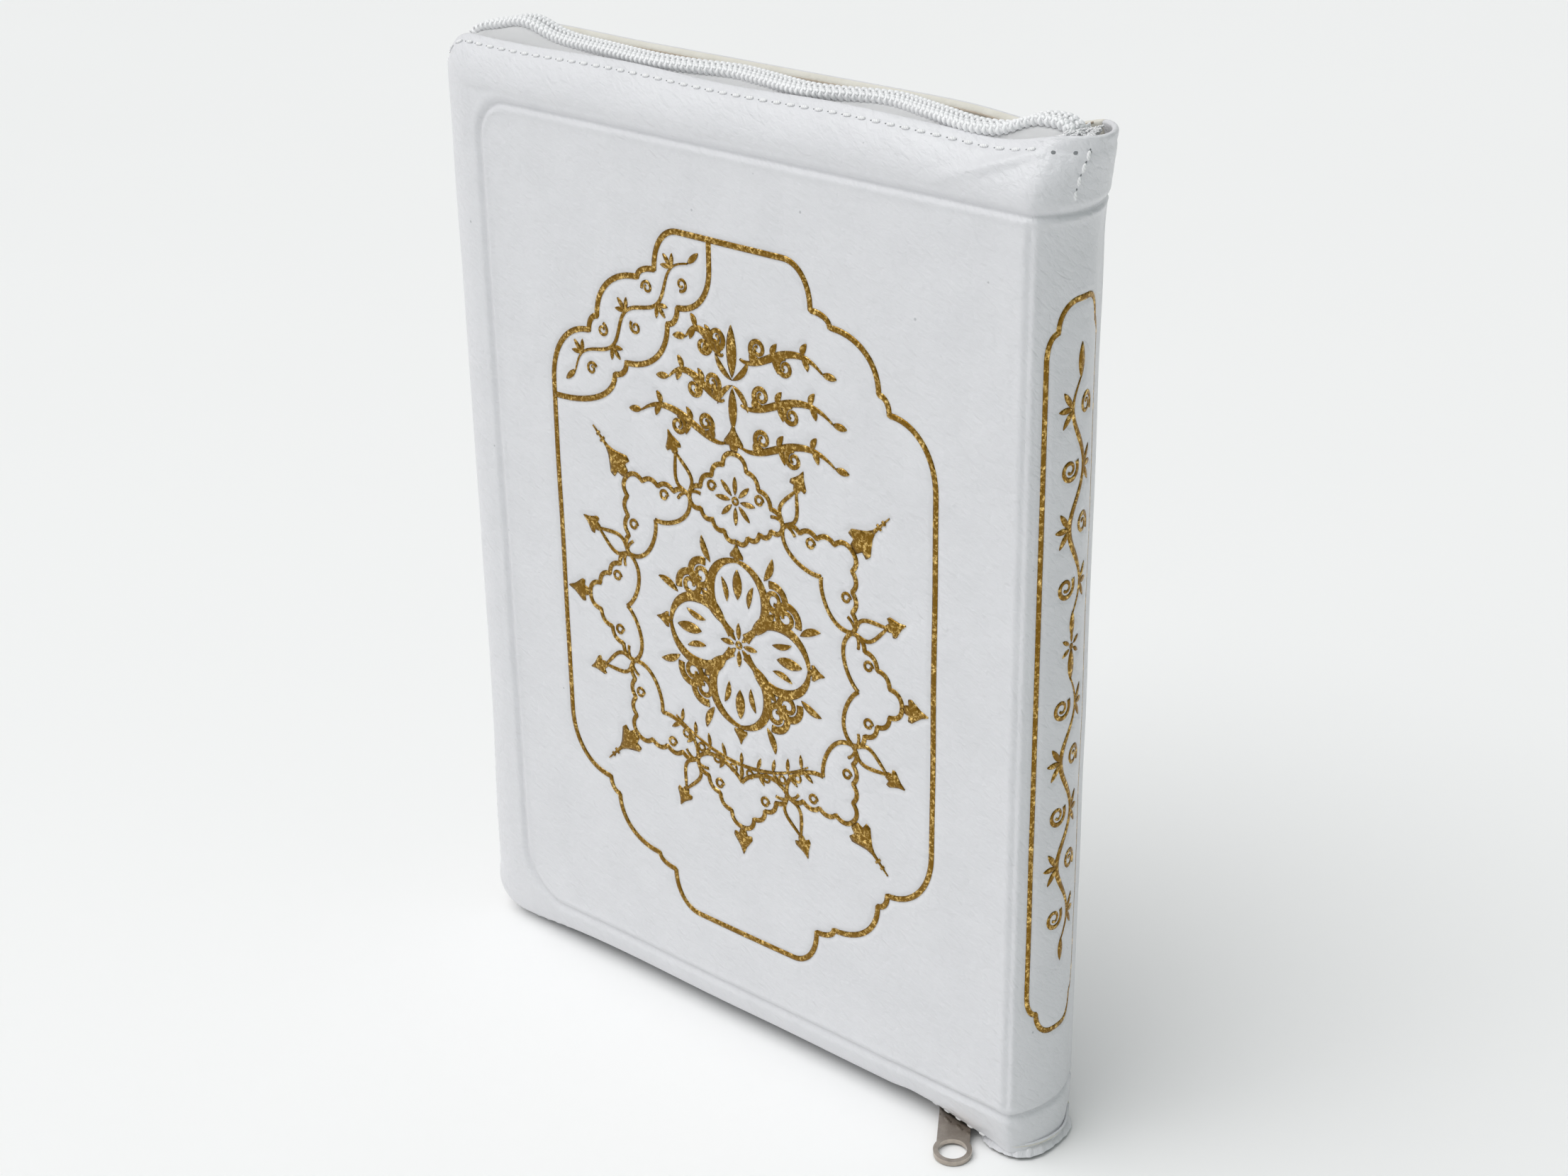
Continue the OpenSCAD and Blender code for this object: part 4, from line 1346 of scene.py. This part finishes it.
def tape_ends():
    """Folded and frayed ends of both tapes, tucked into the head of the spine."""
    made = Pieces()
    t = np.linspace(0, 1, 25)
    arch = np.sin(t * math.pi)
    fold = np.column_stack([72.6 + 0.9 * arch, -1.5 + 11.6 * t, 209.9 + 0.5 * np.sin(t * 9)])
    made.tube(fold, 0.7 + 2.7 * arch**0.6, 14, squash=((0, 0, 1), 0.42))
    for i in range(FRAYS):
        a = i * GOLDEN_ANGLE
        spread = math.sqrt((i + 0.5) / FRAYS)
        foot = np.array([74.2 + 2.3 * spread * math.cos(a), 4.6 + 4.4 * spread * math.sin(a), 210.3])
        lean = [0.9 + 0.6 * math.cos(5 * a), 0.9 * math.sin(3 * a), 1.5 + 0.5 * math.sin(7 * a)]
        tip = foot + lean
        t = np.linspace(0, 1, 6)[:, None]
        bow = np.array([0.3 * math.sin(a), 0.3 * math.cos(2 * a), 0.5])
        made.tube(foot * (1 - t) + tip * t + bow * np.sin(t * math.pi), 0.19, 5)
    hand_in(made.build("zip_tape_fray", [LINT]), "spine", "tape")


coil("front_coil_row", -1, "front_zip_coil", "front_cover")
coil("back_coil_row", 1, "back_zip_coil", "back_cover")
tape("front_tape", -1, "front_zip_tape", "front_cover")
tape("back_tape", 1, "back_zip_tape", "back_cover")
tape_ends()

# ---------- Leaves ----------

LEAVES = 7
SHEET = 0.064


def leaves(name, node, count, body, seed):
    """Folded leaves of the sections in one group."""
    low, high = box_mm(node)
    rng = np.random.default_rng(seed)
    made = Pieces()
    thick = (high[1] - low[1]) / count
    inner = np.clip(Y_MID, low[1], high[1])
    for i in range(count):
        middle = low[1] + (i + 0.5) * thick
        for j in range(LEAVES):
            v = (j - (LEAVES - 1) / 2) / LEAVES
            trim = rng.uniform(0, 0.28)
            phase = rng.uniform(0, 6.28)
            x = np.array([low[0] + trim, -40, 0, 40, 62, 68, high[0] - 0.1])
            gather = 1 - 0.45 * smooth(x, 60, high[0])
            zs = np.array([low[2] + 0.05, 60, 108, 160, high[2] - 0.05])
            wave = 0.02 * np.sin(x / 17 + phase)[:, None] * np.cos(zs / 31 + phase)[None, :]
            y = middle + (v * thick * 0.96 * gather)[:, None] + wave
            y = inner + (y - inner) * (1 - 0.2 * smooth(x, 56, high[0]))[:, None]
            grid = np.stack(np.broadcast_arrays(x[:, None], y, zs[None, :]), -1)
            half = np.array([0, SHEET / 2, 0])
            verts = np.concatenate([(grid - half).reshape(-1, 3), (grid + half).reshape(-1, 3)])
            n, m = y.shape
            faces = grid_faces(n, m, flip=False) + grid_faces(n, m, start=n * m, flip=True)
            edge = [*range(m), *range(2 * m - 1, n * m, m), *range(n * m - 2, (n - 1) * m - 1, -1)]
            edge += list(range((n - 2) * m, 0, -m))
            faces += [[a, a + n * m, b + n * m, b] for a, b in zip(edge, edge[1:] + edge[:1])]
            made.add(verts, faces)
    hand_in(made.build(name, [PAPER], smooth_shade=False), body, "pages", node)


leaves("front_section_leaves", "front_sections", 5, "front_leaves", 3)
leaves("middle_section_leaves", "middle_sections", 9, "spine", 5)
leaves("back_section_leaves", "back_sections", 5, "back_leaves", 7)

# ---------- Boards and linings ----------


def panel(name, node, material, body, slot, inset):
    """A cover's board or lining: the CAD sheet, trimmed to lie that far inside the case's
    outline, with rounded corners at the fore-edge and softened edges."""
    low, high = box_mm(node)
    x0, x1 = X_FORE + inset + FORE_NARROW, high[0]
    z0, z1 = Z_TAIL + inset, Z_HEAD - inset - 1
    r = 8.0
    a = np.linspace(0, math.pi / 2, 9)
    xs = np.concatenate([[x1], x0 + r - r * np.sin(a), x0 + r - r * np.cos(a), [x1]])
    zs = np.concatenate([[z1], z1 - r + r * np.cos(a), z0 + r - r * np.sin(a), [z0]])
    n = len(xs)
    verts = [(x, y, z) for y in (low[1], high[1]) for x, z in zip(xs, zs)]
    faces = [list(range(n)), list(range(n, 2 * n))[::-1]]
    faces += [[i, i + n, (i + 1) % n + n, (i + 1) % n] for i in range(n)]
    obj = new_object(name, verts, faces, [material], smooth_shade=False)
    soften(obj, 0.12)
    hand_in(obj, body, slot, node)


for side in ("front", "back"):
    panel(side + "_board_panel", side + "_board", BOARD, side + "_cover", "board", 5.8)
    panel(side + "_lining_panel", side + "_lining", LINING, side + "_cover", "lining", 4.6)

# ---------- CAD nodes that stay ----------


DRESSED = (
    (BOARD, 0.15, "spine_board"),
    (KRAFT, 0.08, "spine_tube"),
    (CLOTH, 0.08, "spine_cloth"),
    (GLUE, 0.1, "spine_glue"),
    (BAND, 0.1, "head_band", "tail_band"),
    (FLYLEAF, 0.02, "front_flyleaf", "back_flyleaf"),
    (STOP, 0.25, "front_zip_stop", "back_zip_stop", "zip_end_stop"),
    (NICKEL, 0.25, "slider_body"),
    (NICKEL, 0.28, "zip_pull"),
)


def dress_nodes():
    """Gives the CAD nodes that stay their material and softly rounded edges."""
    for material, bevel, *names in DRESSED:
        for name in names:
            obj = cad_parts[name]
            obj.data.materials.clear()
            obj.data.materials.append(material)
            modifier(obj, "WELD", merge_threshold=0.00001)
            soften(obj, bevel)


dress_nodes()

# ---------- Camera, light and floor ----------


RIGHT = (0.7575, 0.6526, -0.0148)
AHEAD = (-0.5966, 0.6830, -0.4214)
EYE = (0.3127, -0.3475, 0.3223)
LENS = 57.49


def camera():
    """The photo's view: 41 degrees round from the front, 25 degrees up."""
    data = bpy.data.cameras.new("camera")
    data.lens = LENS
    data.sensor_width = 36
    data.clip_start, data.clip_end = 0.02, 20
    obj = bpy.data.objects.new("camera", data)
    bpy.context.scene.collection.objects.link(obj)
    ahead = Vector(AHEAD).normalized()
    up = Vector(RIGHT).normalized().cross(ahead).normalized()
    turn = Matrix((ahead.cross(up), up, -ahead)).transposed()
    obj.matrix_world = Matrix.Translation(EYE) @ turn.to_4x4()
    bpy.context.scene.camera = obj


def lamp(name, kind, way, energy, **settings):
    """A light that shines along that direction."""
    data = bpy.data.lights.new(name, kind)
    data.energy = energy
    for key, value in settings.items():
        setattr(data, key, value)
    obj = bpy.data.objects.new(name, data)
    obj.rotation_mode = "QUATERNION"
    obj.rotation_quaternion = Vector(way).to_track_quat("-Z", "Y")
    bpy.context.scene.collection.objects.link(obj)
    return obj


def studio_world():
    """A bright room, paler on the left of the view than on the right."""
    world = bpy.data.worlds.new("studio")
    world.use_nodes = True
    nodes, links = world.node_tree.nodes, world.node_tree.links
    split = nodes.new("ShaderNodeSeparateXYZ")
    links.new(nodes.new("ShaderNodeTexCoord").outputs["Generated"], split.inputs["Vector"])
    share = nodes.new("ShaderNodeMapRange")
    share.inputs["From Min"].default_value = -0.3
    share.inputs["From Max"].default_value = 0.9
    links.new(split.outputs["X"], share.inputs["Value"])
    mix = nodes.new("ShaderNodeMix")
    mix.data_type = "RGBA"
    mix.inputs[6].default_value = (1, 1, 1, 1)
    mix.inputs[7].default_value = (0.4, 0.48, 0.46, 1)
    links.new(share.outputs["Result"], mix.inputs["Factor"])
    links.new(mix.outputs[2], nodes["Background"].inputs["Color"])
    nodes["Background"].inputs["Strength"].default_value = 0.56
    bpy.context.scene.world = world


FLOOR_HALF = 9e3
KEY_PLACE = (-0.3, -0.7, 0.75)
BOOK_CENTRE = (0, 0, 0.11)


def studio():
    corners = [(x * FLOOR_HALF, y * FLOOR_HALF, 0) for x, y in ((-1, -1), (1, -1), (1, 1), (-1, 1))]
    m = Shader("floor_paint", (0.93, 0.93, 0.93), 0.8)
    m.tint(m.noise(m.place(), 3, 3), (0.92, 0.92, 0.92), (0.94, 0.94, 0.94))
    new_object("floor", corners, [[0, 1, 2, 3]], [m.material])
    studio_world()
    lamp("overhead", "SUN", (0.19, 0.36, -0.88), 1.65, angle=math.radians(50))
    way = Vector(BOOK_CENTRE) - Vector(KEY_PLACE)
    lamp("key", "AREA", way, 0.45, shape="DISK", size=0.3).location = KEY_PLACE
    bpy.context.scene.view_settings.view_transform = "Standard"


camera()
studio()
